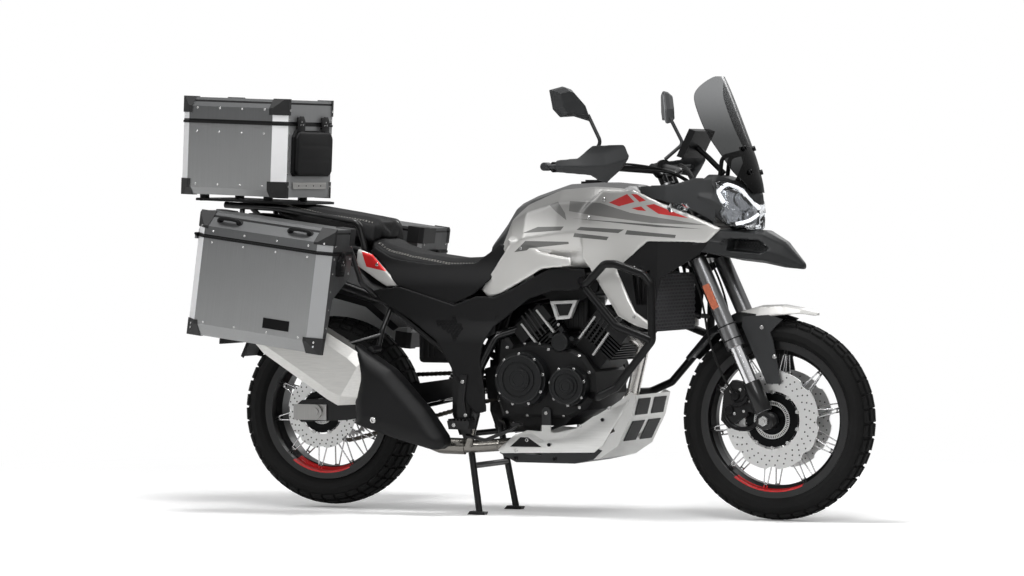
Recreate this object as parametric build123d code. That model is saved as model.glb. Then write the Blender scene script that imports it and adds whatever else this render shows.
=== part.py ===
from build123d import *

import os
from math import asin, atan2, cos, hypot, pi, radians, sin, tan

# Adventure touring motorcycle on its centre stand, with aluminium side cases and a top case.
# Millimetres. +X is forward, +Y is the rider's left, +Z is up. The floor is z = 0 and the origin is the
# middle of the footprint on the floor. Outlines are tables of (x, z) seen from the side unless a comment
# names other columns. Each table is measured from the anchor named beside it.

os.makedirs("parts", exist_ok=True)

# ---------------------------------------------------------------- driving dimensions
wheelbase = 1600
front_axle_x = 886
front_tyre_radius = 328
front_tyre_width = 118
front_rim_radius = 241.3  # 19 inch bead seat
rear_tyre_radius = 318
rear_tyre_width = 168
rear_rim_radius = 215.9  # 17 inch bead seat
rear_wheel_lift = 10  # the centre stand holds the rear tyre this far off the floor
rear_axle_x = front_axle_x - wheelbase
front_axle_z = front_tyre_radius
rear_axle_z = rear_tyre_radius + rear_wheel_lift

rake = 25.0  # steering axis, degrees back from vertical
fork_offset = 32  # fork legs ahead of the steering axis
fork_half_spacing = 105
fork_tube_radius = 27
fork_leg_radius = 21.5
lower_clamp_rise = 590  # along the fork from the axle
upper_clamp_rise = 815
seal_rise = 285  # lower end of the outer fork tubes
clamp_thickness = 34

crank_x = 205
crank_z = 470
case_half_width = 140
cylinder_lean = 41.0  # each side of vertical
pivot_x = -165  # swingarm pivot
pivot_z = 420
gap = 0.3  # between pieces that seat on each other
running_gap = 0.05  # round a shaft that turns
clearance = 6  # between pieces that move past each other
sheet = 2.0  # aluminium sheet of the cases

slope = tan(radians(rake))
fork_up = Vector(-sin(radians(rake)), 0, cos(radians(rake)))
fork_ahead = Vector(cos(radians(rake)), 0, sin(radians(rake)))
front_axle = Vector(front_axle_x, 0, front_axle_z)
rear_axle = Vector(rear_axle_x, 0, rear_axle_z)


def on_fork(rise, side=0, ahead=0):
    """Point on a fork leg's centre line, or at side 0 midway between the legs."""
    return front_axle + fork_up * rise + fork_ahead * ahead + Vector(0, side * fork_half_spacing, 0)


# ---------------------------------------------------------------- shape helpers
def slab(outline, y_from, y_to, x=0, z=0):
    """Side outline of (x, z) points, measured from the anchor, carried from one y to another."""
    wire = Wire.make_polygon([Vector(px + x, y_from, pz + z) for px, pz in outline], close=True)
    return Solid.extrude(Face(wire), Vector(0, y_to - y_from, 0))


def prism_x(outline, x_from, x_to):
    """Front outline of (y, z) points carried along x."""
    wire = Wire.make_polygon([Vector(x_from, py, pz) for py, pz in outline], close=True)
    return Solid.extrude(Face(wire), Vector(x_to - x_from, 0, 0))


def block(x_from, x_to, y_from, y_to, z_from, z_to):
    size = (x_to - x_from, y_to - y_from, z_to - z_from)
    return Pos(x_from, y_from, z_from) * Box(*size, align=(Align.MIN, Align.MIN, Align.MIN))


def rod(start, end, radius, bore=0):
    start, end = Vector(*start), Vector(*end)
    plane = Plane(origin=start, z_dir=end - start)
    shape = Solid.make_cylinder(radius, (end - start).length, plane)
    if bore:
        shape = shape - Solid.make_cylinder(bore, (end - start).length, plane)
    return shape


def tube(points, radius, bend):
    """Round tube along straight runs joined by bends; bend is one radius or a list of them."""
    path = FilletPolyline(*[Vector(*p) for p in points], radius=bend)
    section = Plane(origin=path @ 0, z_dir=path % 0) * Circle(radius)
    return sweep(section, path=path)


def ruled(sections):
    """Straight-sided loft through closed polygons of equally many points."""
    return Solid.make_loft([Wire.make_polygon([Vector(*p) for p in s], close=True) for s in sections], ruled=True)


def band(low, high, z_low, z_high, thickness):
    """Upright bent sheet: low and high are (x, y) lines at two heights, thickened towards y = 0."""
    def ring(line, z):
        inward = -1 if line[0][1] > 0 else 1
        outer = [(px, py, z) for px, py in line]
        inner = [(px, py + inward * thickness, z) for px, py in reversed(line)]
        return outer + inner
    return ruled([ring(low, z_low), ring(high, z_high)])


def bent_panel(outline, low, high, z_low, z_high, thickness, x=0, z=0):
    """Right-hand panel with the given side outline, cut from a bent sheet."""
    return slab(outline, -600, -20, x, z) & band(low, high, z_low, z_high, thickness)


def mirrored(shape):
    return mirror(shape, about=Plane.XZ)


def both(shape):
    return [shape, mirrored(shape)]


def fuse(shapes):
    shapes = list(shapes)
    first = shapes[0]
    return first.fuse(*shapes[1:]) if len(shapes) > 1 else first


def revolve_y(profile, centre):
    """Ring from a closed (y, radius) profile turned about the y axis through centre."""
    wire = Wire.make_polygon([Vector(0, py, pr) for py, pr in profile], close=True)
    turned = Solid.revolve(Face(wire), 360, Axis.Y)
    return Pos(*centre) * turned


def disc_y(radius, y_from, y_to, centre, bore=0):
    middle = Vector(*centre)
    return rod(middle + Vector(0, y_from, 0), middle + Vector(0, y_to, 0), radius, bore)


parts = {}


def keep(name, *shapes):
    """Collects the solids of one node."""
    solids = []
    for shape in shapes:
        group = shape if isinstance(shape, (list, tuple)) else [shape]
        for item in group:
            solids += item.solids()
    parts[name] = solids
    return solids


# ---------------------------------------------------------------- wheels
bead_width = {"front": 76, "rear": 118}
rim_wall = 6
rim_lip_height = 13
rim_lip_width = 9
tyre_wall = 11
spoke_radius = 2.2
spokes_per_side = 20


def tyre(axle, radius, width, rim_radius, rim_width):
    half, seat = width / 2, rim_width / 2
    depth = radius - rim_radius
    outer = [  # (share of half width, share of section height)
        (0.93, 0.27), (1.0, 0.50), (0.95, 0.70), (0.80, 0.86), (0.52, 0.965), (0.22, 1.0),
    ]
    right = [(seat, rim_radius), (seat, rim_radius + rim_lip_height + gap)]
    right += [(half * a, rim_radius + depth * b) for a, b in outer]
    inner = [(seat - tyre_wall, rim_radius), (half - tyre_wall, rim_radius + depth * 0.46),
             (half * 0.66, rim_radius + depth * 0.76), (half * 0.2, radius - tyre_wall - 5)]
    profile = right + [(-py, pr) for py, pr in reversed(right)]
    profile += [(-py, pr) for py, pr in inner] + list(reversed(inner))
    return revolve_y(profile, axle)


def spoked_rim(axle, rim_radius, rim_width, hub_radius, hub_half, flange_radius, bore):
    seat = rim_width / 2
    well = rim_radius - 22
    flange_lip = rim_radius + rim_lip_height
    lip = rim_lip_width
    profile = [
        (seat + lip, flange_lip), (seat + gap, flange_lip), (seat + gap, rim_radius - gap),
        (seat * 0.62, rim_radius - gap - 3), (seat * 0.4, well), (-seat * 0.4, well),
        (-seat * 0.62, rim_radius - gap - 3), (-seat - gap, rim_radius - gap), (-seat - gap, flange_lip),
        (-seat - lip, flange_lip), (-seat - lip, rim_radius - 12), (-seat * 0.62, rim_radius - 14),
        (-seat * 0.36, well - rim_wall), (seat * 0.36, well - rim_wall), (seat * 0.62, rim_radius - 14),
        (seat + lip, rim_radius - 12),
    ]
    ring = revolve_y(profile, axle)
    barrel = disc_y(hub_radius, -hub_half, hub_half, axle)
    flanges = [disc_y(flange_radius, side * hub_half - 4, side * hub_half + 4, axle) for side in (-1, 1)]
    spokes = []
    step = 360 / spokes_per_side
    for side in (-1, 1):
        for index in range(spokes_per_side):
            lean = 26 if index % 2 else -26
            foot_angle = radians(index * step + (0.25 if side > 0 else 0) * step)
            tip_angle = foot_angle + radians(lean)
            foot_radius, tip_radius = flange_radius - 6, rim_radius - 9
            foot = Vector(axle.X + foot_radius * cos(foot_angle), side * hub_half, axle.Z + foot_radius * sin(foot_angle))
            tip = Vector(axle.X + tip_radius * cos(tip_angle), side * seat * 0.84, axle.Z + tip_radius * sin(tip_angle))
            spokes.append(rod(foot, tip, spoke_radius))
    wheel = fuse([ring, barrel] + flanges + spokes)
    return wheel - disc_y(bore, -200, 200, axle)


def petal_disc(axle, y_from, y_to, radius, band_width, petals, hub_radius):
    """Wave-edged brake disc on a spider of arms."""
    scallop = radius * 0.2
    ring = disc_y(radius, y_from, y_to, axle, radius - band_width)
    cuts = []
    for index in range(petals):
        angle = 2 * pi * index / petals
        centre = Vector(axle.X + (radius + scallop * 0.72) * cos(angle), 0, axle.Z + (radius + scallop * 0.72) * sin(angle))
        cuts.append(disc_y(scallop, y_from - 1, y_to + 1, centre))
    ring = ring.cut(*cuts)
    spider = disc_y(hub_radius + 14, y_from, y_to, axle, hub_radius)
    arms = []
    for index in range(petals // 2):
        angle = 2 * pi * (index + 0.5) / (petals // 2)
        outward = Vector(cos(angle), 0, sin(angle))
        start = axle + outward * (hub_radius + 7) + Vector(0, (y_from + y_to) / 2, 0)
        end = axle + outward * (radius - band_width + 4) + Vector(0, (y_from + y_to) / 2, 0)
        arms.append(rod(start, end, abs(y_to - y_from) / 2))
    return fuse([ring, spider] + arms)


front_hub_half = 42
front_disc_y = 62
disc_thickness = 5
front_disc_radius = 160
front_axle_radius = 12
front_hub_radius = 30
keep("front_tyre", tyre(front_axle, front_tyre_radius, front_tyre_width, front_rim_radius, bead_width["front"]))
keep("front_rim", spoked_rim(front_axle, front_rim_radius, bead_width["front"], front_hub_radius, front_hub_half,
                             54, front_axle_radius + running_gap))
front_discs = []
for side in (-1, 1):
    spacer = disc_y(front_hub_radius, side * (front_hub_half + 4 + gap), side * (front_disc_y + 2.5), front_axle, front_axle_radius + running_gap)
    plate = petal_disc(front_axle, side * front_disc_y - 2.5, side * front_disc_y + 2.5, front_disc_radius, 66, 8, 72)
    carrier = disc_y(88, side * front_disc_y - 2.5, side * front_disc_y + 2.5, front_axle, front_axle_radius + running_gap)
    front_discs.append(fuse([spacer, plate, carrier]))
keep("front_discs", front_discs)

rear_hub_half = 56
rear_disc_y = -98
rear_disc_radius = 125
rear_axle_radius = 13
rear_hub_radius = 34
sprocket_y = 101
sprocket_thickness = 7
sprocket_teeth = 42
chain_pitch = 15.875
chain_half_height = 7.5
chain_half_width = 9
rear_pitch_radius = chain_pitch / (2 * sin(pi / sprocket_teeth))
sprocket_tip_radius = rear_pitch_radius - chain_half_height - 1
keep("rear_tyre", tyre(rear_axle, rear_tyre_radius, rear_tyre_width, rear_rim_radius, bead_width["rear"]))
keep("rear_rim", spoked_rim(rear_axle, rear_rim_radius, bead_width["rear"], rear_hub_radius, rear_hub_half,
                            60, rear_axle_radius + running_gap))
keep("rear_disc", fuse([
    disc_y(rear_hub_radius, -rear_hub_half - 4 - gap, rear_disc_y - 2.5, rear_axle, rear_axle_radius + running_gap),
    petal_disc(rear_axle, rear_disc_y - 2.5, rear_disc_y + 2.5, rear_disc_radius, 48, 8, 56),
    disc_y(72, rear_disc_y - 2.5, rear_disc_y + 2.5, rear_axle, rear_axle_radius + running_gap)]))


def sprocket(axle, y_mid, tip_radius, teeth, thickness, bore):
    depth = 8
    points = []
    for index in range(teeth):
        for share, radius in ((-0.32, tip_radius - depth), (-0.12, tip_radius), (0.12, tip_radius), (0.32, tip_radius - depth)):
            angle = 2 * pi * (index + share) / teeth
            points.append((axle.X + radius * cos(angle), axle.Z + radius * sin(angle)))
    plate = slab(points, y_mid - thickness / 2, y_mid + thickness / 2)
    windows = []
    for index in range(6):
        angle = 2 * pi * index / 6
        centre = Vector(axle.X + tip_radius * 0.66 * cos(angle), 0, axle.Z + tip_radius * 0.66 * sin(angle))
        windows.append(disc_y(17, y_mid - thickness, y_mid + thickness, centre))
    return plate.cut(disc_y(bore, y_mid - thickness, y_mid + thickness, axle), *windows)


keep("rear_sprocket", fuse([
    sprocket(rear_axle, sprocket_y, sprocket_tip_radius, sprocket_teeth, sprocket_thickness, rear_axle_radius + running_gap),
    disc_y(rear_hub_radius + 8, rear_hub_half + 4 + gap, sprocket_y, rear_axle, rear_axle_radius + running_gap)]))

# ---------------------------------------------------------------- fork and steering
axle_lug_rise = 105
stem_radius = 20
head_radius = 33
stem_rise = (lower_clamp_rise, upper_clamp_rise)
lower_clamp_top = lower_clamp_rise + clamp_thickness / 2
upper_clamp_bottom = upper_clamp_rise - clamp_thickness / 2

fork_tubes = []
fork_legs = []
for side in (-1, 1):
    fork_tubes.append(fuse([
        rod(on_fork(seal_rise, side), on_fork(upper_clamp_rise + 25, side), fork_tube_radius),
        rod(on_fork(seal_rise - 26, side), on_fork(seal_rise + 48, side), fork_tube_radius + 4)])
        - rod(on_fork(seal_rise - 30, side), on_fork(seal_rise + 200, side), fork_leg_radius + gap))
    foot = fuse([
        rod(on_fork(axle_lug_rise - 10, side), on_fork(seal_rise + 150, side), fork_leg_radius),
        rod(on_fork(30, side), on_fork(axle_lug_rise, side), fork_leg_radius + 6),
        rod(on_fork(0, side) + Vector(0, -24 * side - side * 8, 0), on_fork(0, side) + Vector(0, 22 * side, 0), 27)])
    fork_legs.append(foot)
front_axle_bar = rod(on_fork(0) + Vector(0, -fork_half_spacing - 30, 0), on_fork(0) + Vector(0, fork_half_spacing + 30, 0), front_axle_radius)
keep("fork_tubes", fork_tubes)
wheel_sleeves = [rod(on_fork(0) + Vector(0, side * (front_disc_y + 2.5 + gap), 0), on_fork(0) + Vector(0, side * 80, 0), 20) for side in (-1, 1)]
keep("fork_legs", fuse(fork_legs + [front_axle_bar] + wheel_sleeves))


def clamp(rise):
    """Triple clamp: a bridge round both tubes and the stem."""
    plane = Plane(origin=on_fork(rise) - fork_up * (clamp_thickness / 2), z_dir=fork_up, x_dir=fork_ahead)
    half = fork_half_spacing
    reach = fork_tube_radius + 7
    outline = [(-fork_offset - 30, -34), (-fork_offset - 30, 34), (-22, half + reach - 12), (2, half + reach),
               (22, half + reach - 8), (reach, half - 6), (6, half - 44), (6, -half + 44), (reach, -half + 6),
               (22, -half - reach + 8), (2, -half - reach), (-22, -half - reach + 12)]
    face = plane * make_face(Polyline(*outline, close=True))
    return extrude(face, clamp_thickness)


clamps = [clamp(lower_clamp_rise), clamp(upper_clamp_rise)]
stem = rod(on_fork(lower_clamp_rise, 0, -fork_offset), on_fork(upper_clamp_rise, 0, -fork_offset), stem_radius)
clamp_body = fuse(clamps + [stem])
bar_centre = on_fork(upper_clamp_rise + 70, 0, -fork_offset + 8)
risers = [rod(on_fork(upper_clamp_rise, 0, -fork_offset + 8) + Vector(0, y, 0), bar_centre + Vector(0, y, 0), 15) for y in (-42, 42)]
bar_radius = 11
bar_end = Vector(270, -452, 1144)
bar_points = [bar_end, bar_end + Vector(92, 152, 4), Vector(bar_centre.X + 4, -110, bar_centre.Z + 14), bar_centre + Vector(0, -70, 0)]
bar_line = [tuple(p) for p in bar_points] + [(p.X, -p.Y, p.Z) for p in reversed(bar_points)]
handlebar = tube(bar_line, bar_radius, 26)
clamp_body = fuse([clamp_body] + risers)
clamp_body = clamp_body.cut(
    *[rod(on_fork(seal_rise, side), on_fork(upper_clamp_rise + 60, side), fork_tube_radius + gap) for side in (-1, 1)],
    rod(bar_centre + Vector(0, -66, 0), bar_centre + Vector(0, 66, 0), bar_radius + gap))
keep("triple_clamps", clamp_body)
keep("handlebar", handlebar)

grip_radius = 17
grip_length = 128
grip_way = (bar_points[1] - bar_points[0]).normalized()


def along_bar(distance, radius_from, radius_to, length):
    """Sleeve on the right-hand end of the bar."""
    start = bar_points[0] + grip_way * distance
    return rod(start, start + grip_way * length, radius_to, radius_from)


controls = []
grip = along_bar(14, bar_radius + gap, grip_radius, grip_length)
switch = along_bar(146, bar_radius + gap, 24, 36)
lever_root = bar_points[0] + grip_way * 166 + Vector(30, 0, -6)
lever = tube([tuple(lever_root), tuple(lever_root + Vector(34, -22, 0)), tuple(bar_points[0] + Vector(72, 26, -6))], 5.5, 18)
perch = rod(bar_points[0] + grip_way * 168 + Vector(10, 0, -4), lever_root + Vector(2, 0, 0), 9)
switch_body = fuse([switch, perch, lever]) - along_bar(100, 0, bar_radius + gap, 120) - handlebar
for side_shape in (grip, switch_body):
    controls += both(side_shape)
keep("hand_controls", controls)

guard_outline = [(-36, 2), (-12, 24), (88, 32), (122, 62), (234, 74), (240, 46), (246, 34), (200, -36),
                 (166, -56), (116, -34), (4, -28)]
guard_low = [(200, -463), (300, -470), (420, -442), (480, -400), (560, -300)]
guard_high = [(200, -455), (300, -460), (420, -426), (480, -380), (560, -280)]
guard = bent_panel(guard_outline, guard_low, guard_high, 1050, 1260, 9, bar_end.X, bar_end.Z)
guard_boss = rod(bar_end - grip_way * 26, bar_end - grip_way * gap, 15)
keep("hand_guards", both(fuse([guard, guard_boss]) - handlebar))

mirror_foot = bar_points[0] + grip_way * 160
mirror_points = [tuple(mirror_foot + Vector(4, -6, 25)), (408, -356, 1225), (362, -352, 1312)]
mirror_outer = Vector(278, -478, 0)
mirror_inner = Vector(355, -333, 0)
mirror_outline = [  # (share of the way from the outer to the inner end, z)
    (0, 1391), (0.32, 1403), (0.48, 1396), (0.86, 1341), (1, 1292), (0.61, 1307), (0.27, 1304), (0.09, 1329),
]
mirror_layers = [(0, 0.97), (5, 1), (18, 0.94), (32, 0.7)]  # (depth behind the glass, scale about the middle)
mirror_across = (mirror_inner - mirror_outer).normalized()
mirror_ahead = Vector(mirror_across.Y, -mirror_across.X, 0)


def mirror_ring(depth, scale):
    middle = mirror_outer + (mirror_inner - mirror_outer) * 0.5 + Vector(0, 0, 1350)
    ring = []
    for share, z in mirror_outline:
        corner = mirror_outer + (mirror_inner - mirror_outer) * share + Vector(0, 0, z)
        ring.append(tuple(middle + (corner - middle) * scale + mirror_ahead * depth))
    return ring


mirror_head = ruled([mirror_ring(depth, scale) for depth, scale in mirror_layers])
mirror_shape = fuse([tube(mirror_points, 6, 20), mirror_head])
keep("mirrors", both(mirror_shape.cut(handlebar, switch_body)))

# front mudguard: a curved shell over the tyre with fork stays
guard_inner = front_tyre_radius + 36
guard_outer = guard_inner + 5
fender_table = [  # (angle round the axle, half width, how far the edges hang below the crown)
    (68, 12, 4), (76, 44, 12), (86, 64, 26), (98, 70, 34), (112, 70, 34), (128, 62, 24), (148, 54, 16),
]


def fender_section(angle, half, drop):
    turn = radians(angle)
    inset = min(5, half * 0.3)

    def at(radius, y):
        return (front_axle.X + radius * cos(turn), y, front_axle.Z + radius * sin(turn))
    return [at(guard_outer - drop, -half), at(guard_outer, -half * 0.72), at(guard_outer + 5, 0),
            at(guard_outer, half * 0.72), at(guard_outer - drop, half), at(guard_inner - drop, half - inset),
            at(guard_inner, half * 0.68), at(guard_inner + 5, 0), at(guard_inner, -half * 0.68),
            at(guard_inner - drop, -half + inset)]


fender = ruled([fender_section(*row) for row in fender_table])
fork_guard_outline = [  # from the front axle
    (-100, 303), (-96, 334), (-10, 340), (40, 326), (28, 316), (-2, 284), (8, 252), (34, 118), (-14, 118),
    (-70, 236),
]
fork_guard = slab(fork_guard_outline, -fork_half_spacing + 27, -fork_half_spacing + 34.5, front_axle.X, front_axle.Z)
fork_guard = fork_guard - rod(on_fork(0, -1), on_fork(500, -1), fork_tube_radius + 4 + gap)
keep("front_mudguard", fender)
keep("fork_guards", [g.cut(fender) for g in both(fork_guard)])

# radial calipers behind the legs, gripping the discs
caliper_outline = [(-168, -2), (-158, 92), (-128, 128), (-92, 120), (-70, 84), (-44, 46), (-40, 20), (-96, 4), (-140, -30)]
calipers = []
for side in (-1, 1):
    body = slab(caliper_outline, side * (front_disc_y - 13), side * (front_disc_y + 27), front_axle.X, front_axle.Z)
    slot = disc_y(front_disc_radius + clearance, side * front_disc_y - 8, side * front_disc_y + 8, front_axle)
    hub_room = disc_y(78, -200, 200, front_axle)
    rim_room = revolve_y([(-70, front_rim_radius - 40), (70, front_rim_radius - 40), (70, 300), (-70, 300)], front_axle)
    body = body.cut(slot, hub_room, rim_room, rod(on_fork(0, side), on_fork(400, side), fork_leg_radius + 6 + gap))
    arm = slab([(-80, 30), (-60, 78), (-36, 96), (-22, 60), (-24, 14)], side * (front_disc_y + 12), side * (front_disc_y + 30), front_axle.X, front_axle.Z)
    arm = arm.cut(rod(on_fork(0, side), on_fork(400, side), fork_leg_radius + 6 + gap), rod(on_fork(0, side) + Vector(0, -40, 0), on_fork(0, side) + Vector(0, 40, 0), 27 + gap))
    calipers.append(fuse([body, arm]))
keep("front_calipers", calipers)
# ---------------------------------------------------------------- frame and swingarm
frame_tube = 15
pivot_plate_y = (144, 160)
head_axis = (on_fork(lower_clamp_top + clearance - 5, 0, -fork_offset), on_fork(upper_clamp_bottom - clearance + 5, 0, -fork_offset))
head_tube = rod(*head_axis, head_radius)

frame_runs = [  # (bend radius, centre line of the right-hand tube)
    (60, [(560, -26, 945), (480, -100, 880), (330, -150, 800), (90, -150, 742), (-130, -150, 690), (-182, -158, 560), (-166, -160, 440)]),
    (40, [(586, -26, 888), (458, -96, 812), (436, -118, 700), (362, -124, 640)]),
    (40, [(-150, -150, 640), (-420, -146, 690), (-640, -146, 762), (-800, -118, 952)]),
    (40, [(-120, -150, 700), (-420, -134, 765), (-560, -118, 868), (-800, -112, 930)]),
    (20, [(-420, -146, 694), (-420, -136, 765)]),
    (20, [(-178, -156, 500), (-470, -146, 706)]),
]
plate_outline = [(-205, 500), (-140, 505), (-125, 430), (-112, 330), (-130, 262), (-180, 262), (-205, 330)]
frame_right = [tube(points, frame_tube, bend) if len(points) > 2 else rod(points[0], points[1], frame_tube - 4)
               for bend, points in frame_runs]
frame_right.append(slab(plate_outline, -pivot_plate_y[1], -pivot_plate_y[0]))
stand_pivot = Vector(-160, 0, 282)
stand_pin_radius = 8
stand_boss_y = (pivot_plate_y[0] - 19, pivot_plate_y[0] - 1)
stand_pin = rod((stand_pivot.X, -pivot_plate_y[1], stand_pivot.Z), (stand_pivot.X, -stand_boss_y[0] + 3, stand_pivot.Z), stand_pin_radius)
frame_right.append(stand_pin)
side_pivot = Vector(-40, 176, 276)
side_axis = Vector(0, -cos(radians(20)), -sin(radians(20)))
side_lug = slab([(-118, 336), (-118, 266), (-58, 252), (-24, 262), (-20, 290), (-60, 312)], 151, pivot_plate_y[1] + 1)
side_pin = rod(side_pivot + side_axis * 20, side_pivot - side_axis * 12, stand_pin_radius)
frame_cross = [rod((x, -y, z), (x, y, z), r) for x, y, z, r in
               [(-420, 136, 762, 12), (330, 150, 800, 13), (-800, 116, 940, 12), (-130, 150, 690, 13), (440, 112, 720, 11)]]
shock_head = Vector(-196, 0, 660)
shock_foot = Vector(-262, 0, 384)
shock_ear = slab([(-122, 702), (-122, 676), (-196, 646), (-212, 660), (-196, 676)], -34, -24)
frame_cross += [shock_ear, mirrored(shock_ear), rod((-196, -30, 660), (-196, 30, 660), 8)]
pivot_shaft = rod((pivot_x, -pivot_plate_y[1] - 8, pivot_z), (pivot_x, pivot_plate_y[1] + 8, pivot_z), 12)
main_frame = fuse([head_tube, pivot_shaft, side_lug, side_pin] + frame_right + [mirrored(s) for s in frame_right] + frame_cross)
main_frame = main_frame - rod(*[on_fork(r, 0, -fork_offset) for r in stem_rise], stem_radius + running_gap)

arm_y = (114, 138)
arm_outline = [(pivot_x + 24, pivot_z - 20), (pivot_x + 24, pivot_z + 20), (pivot_x - 30, pivot_z + 30), (-420, 418),
               (-600, 380), (-770, 366), (-790, 350), (-790, 306), (-772, 292), (-600, 302), (-400, 342), (pivot_x - 20, pivot_z - 28)]
arm = slab(arm_outline, -arm_y[1], -arm_y[0])
window_outline = [(-300, 396), (-420, 384), (-560, 352), (-560, 332), (-420, 358), (-300, 378)]
arm_rib = slab(window_outline, -arm_y[1] - 1, -arm_y[1] + 6)
axle_slot = slab([(-756, 316), (-756, 340), (-676, 340), (-676, 316)], -arm_y[1] - 1, -arm_y[0] + 1)
arm = arm - arm_rib
arm_parts = both(arm)
pivot_tube = rod((pivot_x, -arm_y[1], pivot_z), (pivot_x, arm_y[1], pivot_z), 24)
arm_bridge = rod((shock_foot.X, -arm_y[0] - 2, shock_foot.Z), (shock_foot.X, arm_y[0] + 2, shock_foot.Z), 14)
swingarm = fuse(arm_parts + [pivot_tube, arm_bridge])
swingarm = swingarm - rod((pivot_x, -200, pivot_z), (pivot_x, 200, pivot_z), 12 + running_gap)
rear_shaft = rod((rear_axle_x, -arm_y[1] - 20, rear_axle_z), (rear_axle_x, arm_y[1] + 20, rear_axle_z), rear_axle_radius)
shaft_nuts = [rod((rear_axle_x, side * (arm_y[1]), rear_axle_z), (rear_axle_x, side * (arm_y[1] + 16), rear_axle_z), 24) for side in (-1, 1)]
adjusters = [block(-798, -676, side * arm_y[1], side * (arm_y[1] + 7), 300, 352) if side > 0 else
             block(-798, -676, -arm_y[1] - 7, -arm_y[1], 300, 352) for side in (-1, 1)]
axle_sleeves = [
    rod((rear_axle_x, -arm_y[0], rear_axle_z), (rear_axle_x, rear_disc_y - 2.5 - gap, rear_axle_z), 21),
    rod((rear_axle_x, sprocket_y + sprocket_thickness / 2 + gap, rear_axle_z), (rear_axle_x, arm_y[0], rear_axle_z), 21),
]
keep("rear_axle", fuse([rear_shaft] + shaft_nuts + adjusters + axle_sleeves))
swingarm = swingarm - rod((rear_axle_x, -200, rear_axle_z), (rear_axle_x, 200, rear_axle_z), rear_axle_radius)

# ---------------------------------------------------------------- drive chain, one fixed loop
front_teeth = 15
front_pitch_radius = chain_pitch / (2 * sin(pi / front_teeth))
drive_x, drive_z = -104, 428


def chain_loop(offset):
    """Open belt line round both sprockets, its links narrowed between the pins."""
    dx, dz = drive_x - rear_axle_x, drive_z - rear_axle_z
    span = hypot(dx, dz)
    lean = atan2(dz, dx)
    spread = asin((rear_pitch_radius - front_pitch_radius) / span)
    length = span * cos(spread)
    upper = lean + pi / 2 - spread
    lower = lean - pi / 2 + spread
    total = 2 * length + rear_pitch_radius * (pi + 2 * spread) + front_pitch_radius * (pi - 2 * spread)
    links = 2 * round(total / chain_pitch / 2)
    points = []
    for index in range(2 * links):
        way = total * index / (2 * links)
        reach = offset if index % 2 == 0 else offset * 0.62
        if way < length:
            normal = upper
            base = (rear_axle_x + rear_pitch_radius * cos(upper), rear_axle_z + rear_pitch_radius * sin(upper))
            centre = (base[0] + way * cos(upper - pi / 2), base[1] + way * sin(upper - pi / 2))
        elif way < length + front_pitch_radius * (pi - 2 * spread):
            normal = upper - (way - length) / front_pitch_radius
            centre = (drive_x + front_pitch_radius * cos(normal), drive_z + front_pitch_radius * sin(normal))
        elif way < 2 * length + front_pitch_radius * (pi - 2 * spread):
            run = way - length - front_pitch_radius * (pi - 2 * spread)
            normal = lower
            base = (drive_x + front_pitch_radius * cos(lower), drive_z + front_pitch_radius * sin(lower))
            centre = (base[0] + run * cos(lower - pi / 2), base[1] + run * sin(lower - pi / 2))
        else:
            run = way - 2 * length - front_pitch_radius * (pi - 2 * spread)
            normal = lower - run / rear_pitch_radius
            centre = (rear_axle_x + rear_pitch_radius * cos(normal), rear_axle_z + rear_pitch_radius * sin(normal))
        points.append((centre[0] + reach * cos(normal), centre[1] + reach * sin(normal)))
    return points


chain_y = (sprocket_y - chain_half_width, sprocket_y + chain_half_width)
keep("drive_chain", slab(chain_loop(chain_half_height), *chain_y) - slab(chain_loop(-chain_half_height), chain_y[0] - 1, chain_y[1] + 1))
front_sprocket = sprocket(Vector(drive_x, 0, drive_z), sprocket_y, front_pitch_radius - chain_half_height - gap, front_teeth,
                          sprocket_thickness, 0.01)

# ---------------------------------------------------------------- engine
case_outline = [(-48, 591), (-54, 531), (-59, 390), (-36, 326), (204, 322), (261, 350), (299, 401),
                (294, 476), (256, 530), (215, 550), (117, 566), (60, 572), (2, 560), (-20, 591)]
engine_case = slab(case_outline, -case_half_width, case_half_width)
engine_case = chamfer(engine_case.faces().sort_by(Axis.Y)[0].edges(), 12)
engine_case = chamfer(engine_case.faces().sort_by(Axis.Y)[-1].edges(), 12)
gearbox_tail = slab([(-122, 480), (-54, 500), (-54, 380), (-112, 380)], -84, 84)
sump = slab([(-30, 326), (200, 322), (170, 296), (0, 296)], -100, 100)
drive_pocket = disc_y(front_pitch_radius + chain_half_height + clearance, chain_y[0] - 5, case_half_width + 1, (drive_x, 0, drive_z))
output_shaft = rod((drive_x, 80, drive_z), (drive_x, sprocket_y + 8, drive_z), 14)
engine_case = fuse([engine_case, gearbox_tail, sump]) - drive_pocket
engine_case = fuse([engine_case, output_shaft, front_sprocket])

cover_table = [  # (x, z, radius, y of the case face, y of the outer face)
    (50, 450, 90, -case_half_width, -196),
    (214, 430, 66, -case_half_width, -186),
    (198, 575, 20, -120, -158),
    (205, 470, 84, case_half_width, 186),
    (40, 420, 52, case_half_width, 172),
]
covers = []
for x, z, radius, y_face, y_outer in cover_table:
    side = 1 if y_outer > 0 else -1
    step_in = y_outer - side * 10
    stack = [disc_y(radius, y_face, step_in, (x, 0, z)), disc_y(radius * 0.86, step_in - side, y_outer, (x, 0, z))]
    stack.append(disc_y(radius * 0.42, y_outer - side, y_outer + side * 5, (x, 0, z)))
    cover = fuse(stack)
    if radius > 50:
        ring = disc_y(radius * 0.66, y_outer - side * 4, y_outer + side, (x, 0, z), radius * 0.58)
        cover = cover - ring
    covers.append(cover)
guard_cover = slab([(-150, 470), (-60, 490), (-48, 440), (-60, 375), (-120, 370)], chain_y[1] + 4, chain_y[1] + 14)
joined = fuse(covers[:2])
keep("engine_covers", [joined] + covers[3:])

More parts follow.
